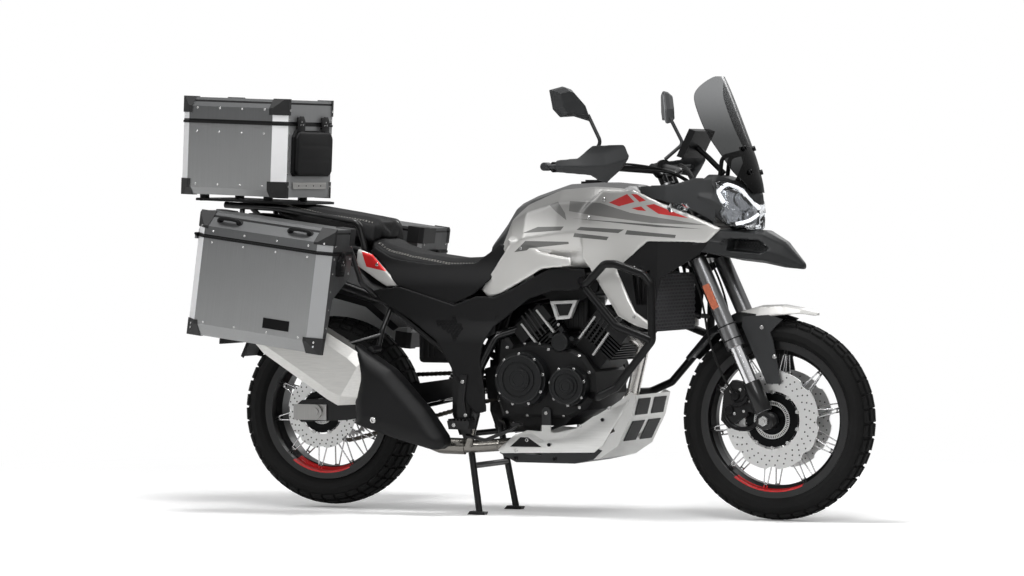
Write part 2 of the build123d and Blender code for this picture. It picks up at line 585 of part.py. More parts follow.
fin_gap = 6
fin_pitch = 11
cylinder_table = [  # (lean forward, first fin, last fin, head top, half width in plane, half depth)
    (-cylinder_lean, 118, 186, 262, 72, 122),
    (cylinder_lean, 118, 186, 262, 72, 122),
]
cylinders = []
for lean, start, end, top, half, depth in cylinder_table:
    way = Vector(sin(radians(lean)), 0, cos(radians(lean)))
    plane = Plane(origin=Vector(crank_x, 0, crank_z), x_dir=Vector(cos(radians(lean)), 0, -sin(radians(lean))), z_dir=way)
    core = extrude(plane.offset(70) * Rectangle(2 * half - 30, 2 * depth - 60), end - 50)
    stack = [core]
    level = start
    while level < end:
        stack.append(extrude(plane.offset(level) * Rectangle(2 * half, 2 * depth - 24), fin_gap - 1))
        level += fin_pitch
    head = extrude(plane.offset(end) * Rectangle(2 * half - 8, 2 * depth), top - end - 24)
    lid_part = extrude(plane.offset(top - 24) * Rectangle(2 * half - 30, 2 * depth - 16), 24)
    lid_part = chamfer(lid_part.faces().sort_by(lambda f: (f.center() - plane.origin).dot(way))[-1].edges(), 12)
    stack += [head, lid_part]
    cylinders.append(fuse(stack))
cylinders = fuse(cylinders) - slab(case_outline, -case_half_width, case_half_width)
airbox = slab([(60, 812), (300, 812), (292, 740), (230, 706), (130, 706), (80, 740)], -110, 110)
airbox = airbox - cylinders
keep("engine_cylinders", [s for s in cylinders.solids() if s.volume > 1000])
keep("engine_case", engine_case)

# ---------------------------------------------------------------- radiator, pipes, silencer, skid plate
core_front = 517
radiator = block(core_front - 34, core_front, -168, 168, 616, 796)
frame_rim = block(core_front - 2, core_front + 6, -172, 172, 612, 800) - block(core_front - 3, core_front + 7, -156, 156, 628, 784)
louvres = [block(core_front + 0, core_front + 4, -156, 156, z, z + 3) for z in range(640, 780, 16)]
tanks = [block(core_front - 38, core_front + 2, side * 172 - 8, side * 172 + 8, 620, 792) for side in (-1, 1)]
keep("radiator", fuse([radiator, frame_rim] + tanks + louvres))

pipe_radius = 21
front_header = tube([(372, -58, 604), (438, -64, 566), (406, -84, 400), (352, -100, 300), (256, -112, 250), (60, -114, 240),
                     (-56, -114, 230), (-120, -158, 226), (-170, -186, 226)], pipe_radius, [26, 60, 50, 50, 60, 30, 30])
rear_header = tube([(8, -96, 612), (-56, -150, 588), (-96, -184, 490), (-112, -188, 330), (-140, -184, 228)], 17, [30, 40, 50])
collector = tube([(-150, -178, 226), (-230, -190, 228), (-380, -212, 290), (-480, -256, 380), (-540, -268, 456)], 27, [50, 60, 40])
silencer_way = Vector(-cos(radians(31.8)), 0, sin(radians(31.8)))
silencer_across = Vector(sin(radians(31.8)), 0, cos(radians(31.8)))
silencer_start = Vector(-496, -268, 430)


def silencer_section(distance, half_height, half_width, drift, cut):
    centre = silencer_start + silencer_way * distance + Vector(0, drift, 0)
    ring = [(-1, -cut), (-1, cut), (-cut, 1), (cut, 1), (1, cut), (1, -cut), (cut, -1), (-cut, -1)]
    return [tuple(centre + silencer_across * (half_height * b) + Vector(0, half_width * a, 0)) for a, b in ring]


silencer_table = [  # (distance, half height, half width, sideways drift, corner share)
    (-40, 55, 38, 6, 0.5), (16, 94, 50, 0, 0.6), (60, 96, 50, -2, 0.66), (330, 88, 50, -20, 0.66), (392, 74, 44, -22, 0.6),
]
silencer = ruled([silencer_section(*row) for row in silencer_table])
outlet_start = silencer_start + silencer_way * 380 + Vector(0, -22, 0)
outlet = rod(outlet_start, outlet_start + silencer_way * 44, 26)
outlet = outlet - rod(outlet_start + silencer_way * 14, outlet_start + silencer_way * 60, 22)
silencer = fuse([silencer, outlet])
pipes = fuse([front_header, rear_header, collector])
keep("silencer", silencer)
pipes = pipes.cut(silencer, engine_case, *cylinders.solids())
keep("exhaust_pipes", max(pipes.solids(), key=lambda s: s.volume))

shield_outline = [(-493, 534), (-480, 438), (-484, 342), (-470, 281), (-392, 260), (-274, 220), (-234, 216), (-184, 243),
                  (-201, 282), (-262, 341), (-298, 381), (-386, 475), (-442, 515), (-478, 540)]
shield_line = [(-130, -214), (-260, -246), (-400, -302), (-480, -324), (-600, -330)]
shield = bent_panel(shield_outline, shield_line, shield_line, 190, 560, 4)
shield_bolt = rod((-354, -270, 322), (-354, -296, 322), 13)
shield_feet = [rod((-430, -262, 420), (-430, -308, 420), 9), rod((-240, -190, 236), (-240, -238, 236), 9)]
keep("exhaust_shield", fuse([shield, shield_bolt] + shield_feet).cut(silencer, parts["exhaust_pipes"][0]))

skid_side = [(-40, 206), (8, 262), (60, 282), (164, 276), (235, 292), (300, 332), (360, 366), (428, 412),
             (446, 404), (428, 330), (381, 236), (320, 196), (230, 176), (20, 176)]
skid_inner = [(-42, 212), (8, 300), (60, 300), (240, 310), (430, 440), (460, 420), (424, 352), (372, 242), (314, 202), (228, 182), (22, 182)]
skid = slab(skid_side, -150, 150) - slab([(px - 6, pz + 1) for px, pz in skid_inner], -145, 145)
cutters = []
skid_windows = [[(160, 238), (214, 254), (196, 210)], [(236, 262), (286, 286), (262, 222)], [(318, 262), (352, 322), (372, 284)],
                [(40, 232), (120, 236), (110, 200), (52, 204)]]
for window in skid_windows:
    cutters.append(slab(window, -160, 160))
slots = [rod((430, y, 250 + 0), (330, y, 300), 9) for y in (-90, -45, 0, 45, 90)]
skid_tab = slab([(112, 272), (112, 348), (120, 358), (136, 358), (144, 348), (144, 272)], -150, -145)
skid_boss = rod((128, -145, 346), (128, -case_half_width - gap, 346), 8)
skid = fuse([skid] + both(skid_tab) + both(skid_boss))
keep("skid_plate", max(skid.cut(*cutters, *slots).solids(), key=lambda s: s.volume))
main_frame = main_frame.cut(engine_case, *parts["engine_cylinders"])
keep("main_frame", max(main_frame.solids(), key=lambda s: s.volume))
main_frame = parts["main_frame"][0]
keep("swingarm", swingarm)
# ---------------------------------------------------------------- tank, panels and seats
def shell_section(x, *levels):
    """Closed ring across the machine from (half width, z) levels, lowest first."""
    right = [(x, -half, z) for half, z in levels]
    return right + [(x, half, z) for half, z in reversed(levels)]


tank_table = [  # (x, then half width and z of the foot, belly, shoulder, brow and crown)
    (-96, (70, 836), (96, 858), (88, 880), (66, 893), (36, 898)),
    (-40, (104, 815), (134, 868), (112, 925), (84, 955), (40, 968)),
    (0, (124, 812), (158, 895), (132, 970), (98, 1008), (46, 1026)),
    (60, (142, 812), (186, 910), (158, 998), (116, 1036), (54, 1052)),
    (180, (150, 814), (200, 925), (176, 1030), (132, 1072), (66, 1090)),
    (300, (150, 818), (205, 935), (184, 1040), (138, 1080), (72, 1096)),
    (396, (150, 838), (200, 945), (180, 1040), (138, 1074), (72, 1087)),
    (436, (128, 905), (178, 955), (160, 1010), (124, 1040), (66, 1058)),
]
tank = ruled([shell_section(x, *levels) for x, *levels in tank_table])
head_room = rod(*[on_fork(r, 0, -fork_offset) for r in (lower_clamp_rise - 60, upper_clamp_rise + 120)], 92)
tank = tank - head_room
filler = rod((236, 0, 1090), (236, 0, 1099), 44)
filler_cap = rod((236, 0, 1090), (236, 0, 1104), 30)
keep("fuel_tank", max((tank - airbox).cut(main_frame).solids(), key=lambda s: s.volume))
keep("filler_cap", fuse([filler, filler_cap]) - parts["fuel_tank"][0])

seat_table = [  # (x, then half width and z of the base, edge, roll and crown)
    (-520, (104, 862), (124, 880), (110, 908), (60, 916)),
    (-470, (110, 812), (140, 838), (126, 870), (66, 882)),
    (-380, (112, 776), (146, 806), (132, 842), (70, 856)),
    (-240, (108, 742), (140, 776), (126, 818), (66, 838)),
    (-140, (92, 752), (118, 786), (104, 826), (56, 842)),
    (-98, (84, 790), (100, 820), (88, 862), (50, 880)),
]
pillion_table = [
    (-880, (92, 986), (112, 996), (98, 1020), (50, 1029)),
    (-790, (104, 952), (132, 968), (116, 1002), (60, 1014)),
    (-680, (108, 922), (138, 940), (122, 980), (62, 995)),
    (-560, (106, 894), (136, 912), (120, 962), (62, 980)),
    (-508, (104, 880), (124, 900), (108, 948), (58, 966)),
]
rider_seat = ruled([shell_section(x, *levels) for x, *levels in seat_table])
pillion_seat = ruled([shell_section(x, *levels) for x, *levels in pillion_table])
rider_seat = max(rider_seat.cut(parts["fuel_tank"][0], main_frame).solids(), key=lambda s: s.volume)
pillion_seat = max(pillion_seat.cut(rider_seat, main_frame).solids(), key=lambda s: s.volume)
keep("rider_seat", rider_seat)
keep("pillion_seat", pillion_seat)

panel = 4
shroud_low = [(-120, -206), (200, -226), (420, -232), (540, -220), (760, -150)]
shroud_high = [(-120, -176), (200, -186), (420, -190), (540, -188), (760, -140)]
shroud_outline = [(338, 1071), (456, 1071), (539, 1034), (639, 994), (741, 948), (692, 899), (506, 904),
                  (416, 826), (403, 815), (472, 677), (522, 645), (522, 617), (472, 631), (412, 662), (300, 824), (276, 850), (272, 1000)]
shroud = bent_panel(shroud_outline, shroud_low, shroud_high, 600, 1100, panel)
inner_low = [(x, y + panel + 1) for x, y in shroud_low]
inner_high = [(x, y + panel + 1) for x, y in shroud_high]
duct_outline = [(380, 850), (416, 690), (470, 640), (528, 643), (552, 787), (670, 863), (698, 899), (640, 945), (522, 940)]
duct = bent_panel(duct_outline, inner_low, inner_high, 600, 1100, panel)
duct_slots = [slab([(452 + k * 26, 820 - k * 6), (464 + k * 26, 826 - k * 6), (486 + k * 10, 700), (474 + k * 10, 700)], -300, -100) for k in range(3)]
duct = duct.cut(*duct_slots)
rear_outline = [(-10, 913), (4, 896), (-106, 744), (-82, 717), (-41, 721), (128, 812), (240, 822), (240, 850), (120, 870), (30, 905)]
rear_low = [(-120, -150), (0, -172), (250, -210)]
rear_high = [(-120, -146), (0, -168), (250, -208)]
rear_piece = bent_panel(rear_outline, rear_low, rear_high, 700, 930, panel)
tail_outline = [(-557, 877), (-501, 857), (-394, 751), (-444, 748), (-563, 821)]
tail_low = [(-380, -166), (-600, -166)]
tail_high = [(-380, -162), (-600, -150)]
tail_piece = bent_panel(tail_outline, tail_low, tail_high, 730, 890, panel)
tail_piece = fuse([tail_piece, rod((-484, -126, 812), (-484, -160, 812), 9)])
silver = []
for piece in (shroud, rear_piece, tail_piece):
    piece = piece.cut(parts["fuel_tank"][0], main_frame)
    silver += both(max(piece.solids(), key=lambda s: s.volume))
keep("side_panels", silver)

mid_outline = [(-470, 742), (-394, 748), (-188, 695), (-116, 716), (-84, 712), (30, 752), (-40, 655), (-40, 600),
               (-84, 575), (-120, 520), (-200, 560), (-252, 590), (-440, 690)]
mid_low = [(60, -196), (-120, -196), (-500, -178)]
mid_high = [(60, -170), (-120, -170), (-500, -168)]
mid = bent_panel(mid_outline, mid_low, mid_high, 500, 780, panel)
cell = 9  # circumradius of a hexagon of the side grille
cell_pitch = 18
cells = []
for row in range(5):
    for column in range(6):
        x = -236 + column * cell_pitch + (row % 2) * cell_pitch / 2
        z = 588 + row * cell_pitch * 0.87
        if z < 676 + 0.1 * x and z > 606 - (x + 236) * 0.2:
            cells.append(slab([(x + cell * cos(radians(60 * k + 30)), z + cell * sin(radians(60 * k + 30))) for k in range(6)], -300, -100))
mid = mid.cut(*cells)
mid_feet = [rod((x, -150, z), (x, -172, z), 8) for x, z in ((-130, 690), (-380, 700))]
mid = fuse([mid] + mid_feet) - main_frame
keep("inner_panels", both(duct), both(max(mid.solids(), key=lambda s: s.volume)), airbox)

# ---------------------------------------------------------------- nose, lamp, beak, screen, display
nose_table = [  # (x, then half width and z, lowest first)
    (662, (60, 1000), (120, 1012), (146, 1050), (120, 1104), (60, 1122)),
    (700, (60, 982), (116, 990), (134, 1040), (110, 1096), (56, 1117)),
    (745, (56, 944), (98, 952), (114, 1010), (92, 1078), (50, 1103)),
    (790, (44, 942), (72, 948), (86, 1004), (68, 1060), (40, 1086)),
    (815, (26, 942), (46, 948), (54, 998), (44, 1044), (24, 1070)),
    (827, (8, 946), (16, 952), (20, 994), (16, 1030), (10, 1056)),
]
swing = hypot(fork_offset, fork_half_spacing + fork_tube_radius + 7) + clearance
fork_sweep = rod(on_fork(480, 0, -fork_offset), on_fork(900, 0, -fork_offset), swing)
nose = ruled([shell_section(x, *levels) for x, *levels in nose_table]).cut(fork_sweep)
lens = ruled([shell_section(x + 2, *[(half + 2.5, z) for half, z in levels]) for x, *levels in nose_table])
lamp_side = [(706, 1100), (732, 1097), (784, 1074), (818, 1028), (840, 1010), (840, 930), (749, 930), (722, 996),
             (735, 1017), (715, 1060)]
lamp = max((lens & slab(lamp_side, -200, 200)).cut(fork_sweep).solids(), key=lambda s: s.volume)
cheek_low = [(430, -178), (560, -186), (662, -145), (720, -124)]
cheek_high = [(430, -170), (560, -174), (662, -138), (720, -114)]
cheek = bent_panel([(470, 1050), (470, 1084), (582, 1090), (649, 1112), (700, 1108), (716, 960), (650, 1000), (548, 1036)],
                   cheek_low, cheek_high, 900, 1150, panel)
nose_stays = [rod((560, y, 962), (712, y, 1012), 10) for y in (-18, 18)]
nose = fuse([nose] + nose_stays).cut(lamp, main_frame)
keep("headlamp", lamp)

beak_table = [  # (x, then half width and z, lowest first)
    (650, (40, 866), (164, 876), (172, 912), (166, 938), (30, 944)),
    (740, (40, 846), (130, 858), (142, 900), (116, 940), (34, 946)),
    (850, (34, 834), (70, 846), (80, 880), (62, 926), (28, 940)),
    (914, (22, 820), (42, 832), (46, 858), (36, 892), (18, 904)),
    (976, (8, 814), (14, 818), (16, 824), (12, 830), (6, 834)),
]
beak = ruled([shell_section(x, *levels) for x, *levels in beak_table])
for side in (-1, 1):
    vent = slab([(750, 876), (850, 866), (876, 880), (840, 908), (760, 914)], side * 130, side * 60)
    beak = beak - vent
beak = beak.cut(lamp, fork_sweep, *parts["side_panels"])
nose = max(nose.cut(beak).solids(), key=lambda s: s.volume)
cheek = cheek.cut(nose, beak)
keep("beak", max(beak.solids(), key=lambda s: s.volume))

screen_table = [  # (x, z, half width) up the middle
    (826, 1062, 60), (822, 1095, 78), (812, 1130, 108), (802, 1170, 120), (768, 1255, 143), (745, 1312, 143),
    (721, 1371, 142), (708, 1399, 124), (696, 1424, 90), (687, 1440, 48),
]


def screen_section(x, z, half, thickness):
    """Ring across the screen at one height, swept further back the wider it is."""
    back = half * half / 250
    outer = [(x - back * (k / 3) ** 2, half * k / 3, z) for k in (-3, -2, -1, 0, 1, 2, 3)]
    inner = [(px - thickness, py, pz) for px, py, pz in reversed(outer)]
    return outer + inner


screen = ruled([screen_section(x, z, half, 5) for x, z, half in screen_table])
screen_base = ruled([screen_section(x - 5.3, z, half, 12) for x, z, half in
                     [(826, 1062, 40), (822, 1095, 48), (812, 1130, 52), (802, 1170, 50), (786, 1210, 44)]])
keep("windshield", screen)
nose = nose - screen
mount_block = slab([(738, 1092), (812, 1052), (815, 1110), (790, 1172), (776, 1172), (752, 1118)], -30, 30)
mount_arms = [tube([(690, y, 1096), (700, y, 1178), (778, y, 1196)], 7, 24) for y in (-34, 34)]
screen_mount = fuse([screen_base, mount_block] + mount_arms)
keep("screen_mount", max(screen_mount.cut(screen, nose, lamp).solids(), key=lambda s: s.volume))
keep("nose_fairing", nose, both(max(cheek.solids(), key=lambda s: s.volume)))
display = slab([(562, 1180), (584, 1174), (628, 1262), (606, 1270)], -88, 88)
display_stay = tube([(694, 0, 1124), (640, 0, 1175), (594, 0, 1214)], 9, 30)
keep("display", max((fuse([display, display_stay]).cut(nose, screen_mount)).solids(), key=lambda s: s.volume))

# ---------------------------------------------------------------- crash bars, footrests, stands
bar_tube = 13
crash_runs = [
    (26, [(250, -150, 781), (310, -252, 762), (387, -276, 832), (424, -276, 832), (524, -270, 799), (546, -266, 770), (546, -258, 586),
          (415, -240, 432), (345, -228, 400), (284, -136, 400)]),
    (24, [(310, -250, 752), (420, -262, 634), (544, -262, 588)]),
]
crash = fuse([tube(points, bar_tube, bend) for bend, points in crash_runs])
crash = fuse([crash, rod((546, -262, 650), (500, -172, 660), 8)])
crash = crash.cut(main_frame, engine_case, parts["radiator"][0], *parts["engine_covers"])
keep("crash_bars", both(max(crash.solids(), key=lambda s: s.volume)))
keep("inner_panels", [panel_piece.cut(*parts["crash_bars"], *parts["beak"]) for panel_piece in parts["inner_panels"]])

rest_y = 214
rest = slab([(-176, 314), (-96, 314), (-100, 286), (-170, 286)], -268, -rest_y)
rest_teeth = [block(x, x + 5, -268, -rest_y - 4, 314, 320) for x in range(-172, -100, 13)]
hanger = slab([(-152, 462), (-128, 462), (-138, 380), (-130, 330), (-104, 290), (-160, 286), (-164, 340)], -rest_y, -rest_y + 8)
rest_pins = [rod((-142, -pivot_plate_y[0], 452), (-142, -rest_y, 452), 9), rod((-150, -pivot_plate_y[0], 296), (-150, -rest_y, 296), 9)]
pillion_hanger = tube([(-430, -146, 692), (-446, -190, 610), (-456, -204, 545)], 9, 40)
pillion_peg = rod((-456, -200, 545), (-456, -262, 542), 12)
silencer_stay = rod((-450, -198, 590), (-540, -262, 560), 7)
pedal = tube([(-130, -rest_y - 4, 264), (-60, -rest_y - 6, 250), (30, -rest_y - 8, 285), (62, -rest_y - 22, 303)], 6, 24)
pedal_pad = block(44, 76, -rest_y - 34, -rest_y - 6, 300, 309)
pedal_root = slab([(-156, 290), (-112, 290), (-116, 256), (-140, 252)], -rest_y, -rest_y + 8)
rest_right = fuse([rest, hanger, pedal_root, pedal, pedal_pad] + rest_pins + rest_teeth)
pillion_right = fuse([pillion_hanger, pillion_peg])
footrests = [rest_right - main_frame, mirrored(rest_right) - main_frame,
             fuse([pillion_right, silencer_stay]).cut(main_frame, silencer), mirrored(pillion_right) - main_frame]
keep("footrests", [max(f.cut(parts["exhaust_pipes"][0]).solids(), key=lambda s: s.volume) for f in footrests])

stand_foot = Vector(-116, -150, 0)  # ahead of the pivot, so the weight holds the stand down
stand_leg_y = sum(stand_boss_y) / 2
centre_leg = rod((stand_pivot.X, -stand_leg_y + 4, stand_pivot.Z), (stand_foot.X + 4, stand_foot.Y, 8), 11)
stand_boss = rod((stand_pivot.X, -stand_boss_y[1], stand_pivot.Z), (stand_pivot.X, -stand_boss_y[0], stand_pivot.Z), 20)
foot_pad = slab([(-34, 0), (26, 0), (30, 10), (-24, 12)], stand_foot.Y - 16, stand_foot.Y + 14, stand_foot.X, 0)
stand_bridge = rod((-140, -stand_leg_y - 6, 160), (-140, stand_leg_y + 6, 160), 10)
centre_stand = fuse(both(fuse([centre_leg, stand_boss, foot_pad])) + [stand_bridge])
centre_stand = centre_stand - rod((stand_pivot.X, -200, stand_pivot.Z), (stand_pivot.X, 200, stand_pivot.Z), stand_pin_radius + running_gap)
keep("centre_stand", centre_stand)

side_tip = side_pivot + Vector(-252, 14, -28)
side_leg = fuse([rod(side_pivot, side_tip, 10),
                 rod(side_pivot + side_axis * 8, side_pivot - side_axis * 8, 19),
                 slab([(-26, -14), (16, -18), (18, -10), (8, 2), (-16, 4)], side_tip.Y - 15, side_tip.Y + 16, side_tip.X, side_tip.Z)])
side_leg = side_leg - rod(side_pivot + side_axis * 30, side_pivot - side_axis * 30, stand_pin_radius + running_gap)
keep("side_stand", side_leg)


# ---------------------------------------------------------------- luggage
case_chamfer = 40
case_length, case_height, case_lid = 496, 410, 78
case_outer_y = 490
case_inner_y = {"right": 288, "left": 226}
case_pitch = 7.5
case_centre = (-766, 768)
top_length, top_half_width, top_height, top_lid = 393, 207, 327, 80
top_rear_x = rear_axle_x - 500
top_bottom_z = 1052
top_pitch = 2.2
seal_height = 7
cap_size = 52
cap_thickness = 3


def case_shape(plan, profile, grow):
    """Closed case body: a plan seen from above crossed with a profile seen from the front, both grown."""
    flat = make_face(Polyline(*plan, close=True))
    front = make_face(Plane.YZ * Polyline(*profile, close=True))
    if grow:
        flat = offset(flat, amount=grow, kind=Kind.INTERSECTION)
        front = offset(front, amount=grow, kind=Kind.INTERSECTION)
    tall = extrude(flat, 1000, both=True)
    long = extrude(front, 1000, both=True)
    return tall & long


hinge_radius = 4.5
hinge_reach = 5
hinge_half_width = 36


def hinge_leaves(length, seam, middles):
    """Three-part hinges across the rear wall: (leaves of the body, leaves of the lid)."""
    lower, upper = [], []
    x = -length / 2 - hinge_reach
    for y in middles:
        third = hinge_half_width / 3
        for start, end, leaves, z_side in ((-hinge_half_width, -third - gap, lower, -1), (-third, third, upper, 1),
                                           (third + gap, hinge_half_width, lower, -1)):
            barrel = rod((x, y + start, seam), (x, y + end, seam), hinge_radius)
            low, high = sorted((seam + z_side * (gap + hinge_radius - 2), seam + z_side * 16))
            leaves.append(fuse([barrel, block(x - 1, -length / 2, y + start, y + end, low, high)]))
    return lower, upper


def aluminium_case(length, height, lid, plan, profile, place):
    """Shell, lid, seal and corner caps of one case, in its own frame and then placed."""
    outer = case_shape(plan, profile, 0)
    shell = outer - case_shape(plan, profile, -sheet)
    seam = height / 2 - lid
    big = 2000
    under = Box(big, big, big, align=(Align.CENTER, Align.CENTER, Align.MAX))
    over = Box(big, big, big, align=(Align.CENTER, Align.CENTER, Align.MIN))
    body = shell & Pos(0, 0, seam - seal_height) * under
    cover = shell & Pos(0, 0, seam + gap) * over
    seal_outer = case_shape(plan, profile, 2.5)
    seal = (seal_outer - case_shape(plan, profile, -sheet - 3)) & Pos(0, 0, seam - seal_height) * over & Pos(0, 0, seam) * under
    jacket = case_shape(plan, profile, cap_thickness) - outer
    y_low, y_high = min(y for _, y in plan), max(y for _, y in plan)
    inset = 0.15 * (y_high - y_low) + hinge_half_width / 2
    middles = [y_low + inset + 12, y_high - inset - 12]
    caps_body, caps_lid = hinge_leaves(length, seam, middles)
    hinge_room = [block(-length / 2 - 20, -length / 2, y - hinge_half_width - 1, y + hinge_half_width + 1, seam - 20, seam + 20)
                  for y in middles]
    seal = seal.cut(*hinge_room)
    for x_side in (-1, 1):
        for y_edge in (y_low, y_high):
            for z_side in (-1, 1):
                zone = Pos(x_side * length / 2, y_edge, z_side * height / 2) * Box(2 * cap_size, 2 * cap_size, 2 * cap_size)
                cap = jacket & zone
                if cap and cap.volume > 1:  # the cut-away bottom corner of the right-hand case has none
                    (caps_lid if z_side > 0 else caps_body).append(cap)
    moved = [place * item for item in (body, cover, seal)]
    return moved, [place * c for c in caps_body], [place * c for c in caps_lid]


def octagon(half_x, y_inner, y_outer, cut_inner, cut_outer):
    side = 1 if y_outer > y_inner else -1
    return [(-half_x, y_outer - side * cut_outer), (-half_x + cut_outer, y_outer), (half_x - cut_outer, y_outer),
            (half_x, y_outer - side * cut_outer), (half_x, y_inner + side * cut_inner), (half_x - cut_inner, y_inner),
            (-half_x + cut_inner, y_inner), (-half_x, y_inner + side * cut_inner)]


half_h = case_height / 2
case_profiles = {
    "right": [(-case_outer_y, half_h - 45), (-case_outer_y + 50, half_h), (-case_inner_y["right"], half_h),
              (-case_inner_y["right"], half_h - 150), (-412, half_h - 232), (-432, -half_h), (-case_outer_y + 34, -half_h),
              (-case_outer_y, -half_h + 40)],
    "left": [(case_outer_y, half_h - 45), (case_outer_y - 50, half_h), (case_inner_y["left"], half_h),
             (case_inner_y["left"], -half_h), (case_outer_y - 40, -half_h), (case_outer_y, -half_h + 40)],
}
case_place = Location((case_centre[0], 0, case_centre[1]), (0, case_pitch, 0))
fittings = []
seals = []
for side_name, sign in (("right", -1), ("left", 1)):
    plan = octagon(case_length / 2, sign * case_inner_y[side_name], sign * case_outer_y, 12, case_chamfer)
    moved, caps_body, caps_lid = aluminium_case(case_length, case_height, case_lid, plan, case_profiles[side_name], case_place)
    handles = []
    for x in (-130, 130):
        handle = tube([(x - 34, sign * (case_outer_y - 26), half_h - 24), (x - 26, sign * (case_outer_y - 14), half_h - 12),
                       (x + 26, sign * (case_outer_y - 14), half_h - 12), (x + 34, sign * (case_outer_y - 26), half_h - 24)], 5, 8)
        handles.append(case_place * handle)
    keep(f"pannier_{side_name}", fuse([moved[0]] + caps_body))
    keep(f"pannier_lid_{side_name}", fuse([moved[1]] + caps_lid + handles) )
    seals.append(moved[2])

top_plan = octagon(top_length / 2, top_half_width, -top_half_width, case_chamfer, case_chamfer)
top_profile = [(-top_half_width, top_height / 2 - 30), (-top_half_width + 30, top_height / 2), (top_half_width - 30, top_height / 2),
               (top_half_width, top_height / 2 - 30), (top_half_width, -top_height / 2 + 24), (top_half_width - 24, -top_height / 2),
               (-top_half_width + 24, -top_height / 2), (-top_half_width, -top_height / 2 + 24)]
top_place = Location((top_rear_x + top_length / 2 + hinge_reach + hinge_radius + 3, 0, top_bottom_z + top_height / 2), (0, top_pitch, 0))
moved, caps_body, caps_lid = aluminium_case(top_length, top_height, top_lid, top_plan, top_profile, top_place)
keep("topcase", fuse([moved[0]] + caps_body))
keep("topcase_lid", fuse([moved[1]] + caps_lid))
seals.append(moved[2])
keep("case_seals", seals)

latch_outline = [(-20, -34), (20, -34), (26, -10), (26, 16), (14, 30), (-14, 30), (-26, 16), (-26, -10)]


def latch(x, y, z, place):
    """Six-sided over-centre latch on a front wall, its claw just under the lid."""
    return place * prism_x([(y + py, z + pz) for py, pz in latch_outline], x, x + 11)


top_seam = top_height / 2 - top_lid
case_seam = case_height / 2 - case_lid
latches = [latch(top_length / 2, y, top_seam - seal_height - 34, top_place) for y in (-92, 92)]
latches += [latch(case_length / 2, sign * (case_outer_y + case_inner_y[n]) / 2, case_seam - seal_height - 34, case_place)
            for n, sign in (("right", -1), ("left", 1))]
back_pad = top_place * prism_x([(-140, -80), (-140, 40), (-120, 62), (120, 62), (140, 40), (140, -80), (126, -92), (-126, -92)],
                               top_length / 2, top_length / 2 + 12)
back_pad = back_pad.cut(*latches)
keep("case_fittings", latches, back_pad)

rack_z = top_bottom_z - 22
rack_outline = [(-176, -1150), (-120, -1172), (120, -1172), (176, -1150), (176, -820), (110, -770), (-110, -770), (-176, -820)]
rack_plate = extrude(Plane.XY.offset(rack_z) * make_face(Polyline(*[(x, y) for y, x in rack_outline], close=True)), 8)
rack_holes = [Pos(x, y, rack_z) * Box(84, 54, 40) for x in (-1080, -960, -860) for y in (-90, 0, 90)]
rack_plate = rack_plate.cut(*rack_holes)
rack_tilt = Pos(top_place.position.X, 0, rack_z) * Rot(0, top_pitch, 0) * Pos(-top_place.position.X, 0, -rack_z)
rack_plate = rack_tilt * rack_plate
pucks = [rod((x, y, rack_z + 4), (x, y, top_bottom_z + 14), 16) for x in (-1140, -900) for y in (-130, 130)]
rail_right = tube([(-540, -120, 862), (-548, -160, 960), (-690, -162, 984), (-840, -150, 1008), (-1060, -132, 1020)], 11, [24, 30, 40])
rack_stay = tube([(-650, -146, 774), (-800, -158, 870), (-960, -140, 1014)], 9, 60)
rack_cross = [rod((x, -140, z), (x, 140, z), 9) for x, z in ((-912, 1012), (-1040, 1019))]
rail_y = 204
pannier_rail = tube([(-480, -146, 710), (-520, -198, 760), (-560, -rail_y, 880), (-900, -rail_y, 880), (-980, -190, 900), (-1000, -140, 940), (-1000, -120, 1018)],
                    9, [30, 30, 40, 40, 40])
rail_stays = [rod((-640, -146, 764), (-640, -rail_y, 880), 8), rod((-800, -118, 940), (-860, -rail_y, 880), 8)]
racks = fuse([rack_plate, rail_right, mirrored(rail_right), rack_stay, mirrored(rack_stay), pannier_rail, mirrored(pannier_rail)]
             + rack_cross + rail_stays + [mirrored(r) for r in rail_stays] + pucks)
hooks = []
for n, sign in (("right", -1), ("left", 1)):
    for x in (-640, -860):
        hooks.append(rod((x, sign * rail_y, 880), (x, sign * (case_inner_y[n] - gap), 880), 12))
racks = fuse([racks] + hooks)
case_solids = [s for k in ("topcase", "pannier_right", "pannier_left") for s in parts[k]]
racks = racks.cut(main_frame, parts["pillion_seat"][0], *case_solids, *parts["case_seals"])
keep("luggage_racks", [r for r in racks.solids() if r.volume > 2000])

# ---------------------------------------------------------------- tail, mudguard, shock, caliper, crown details
mud_inner = rear_tyre_radius + 26
mud_table = [(40, 76), (62, 84), (90, 90), (118, 90), (146, 82), (160, 72)]  # (angle round the axle, half width)


def mud_section(angle, half):
    turn = radians(angle)
    def at(radius, y):
        return (rear_axle_x + radius * cos(turn), y, rear_axle_z + 60 + radius * sin(turn))
    return [at(mud_inner - 14, -half), at(mud_inner + 4, -half * 0.8), at(mud_inner + 4, half * 0.8), at(mud_inner - 14, half),
            at(mud_inner - 14, half - 4), at(mud_inner, half * 0.76), at(mud_inner, -half * 0.76), at(mud_inner - 14, -half + 4)]


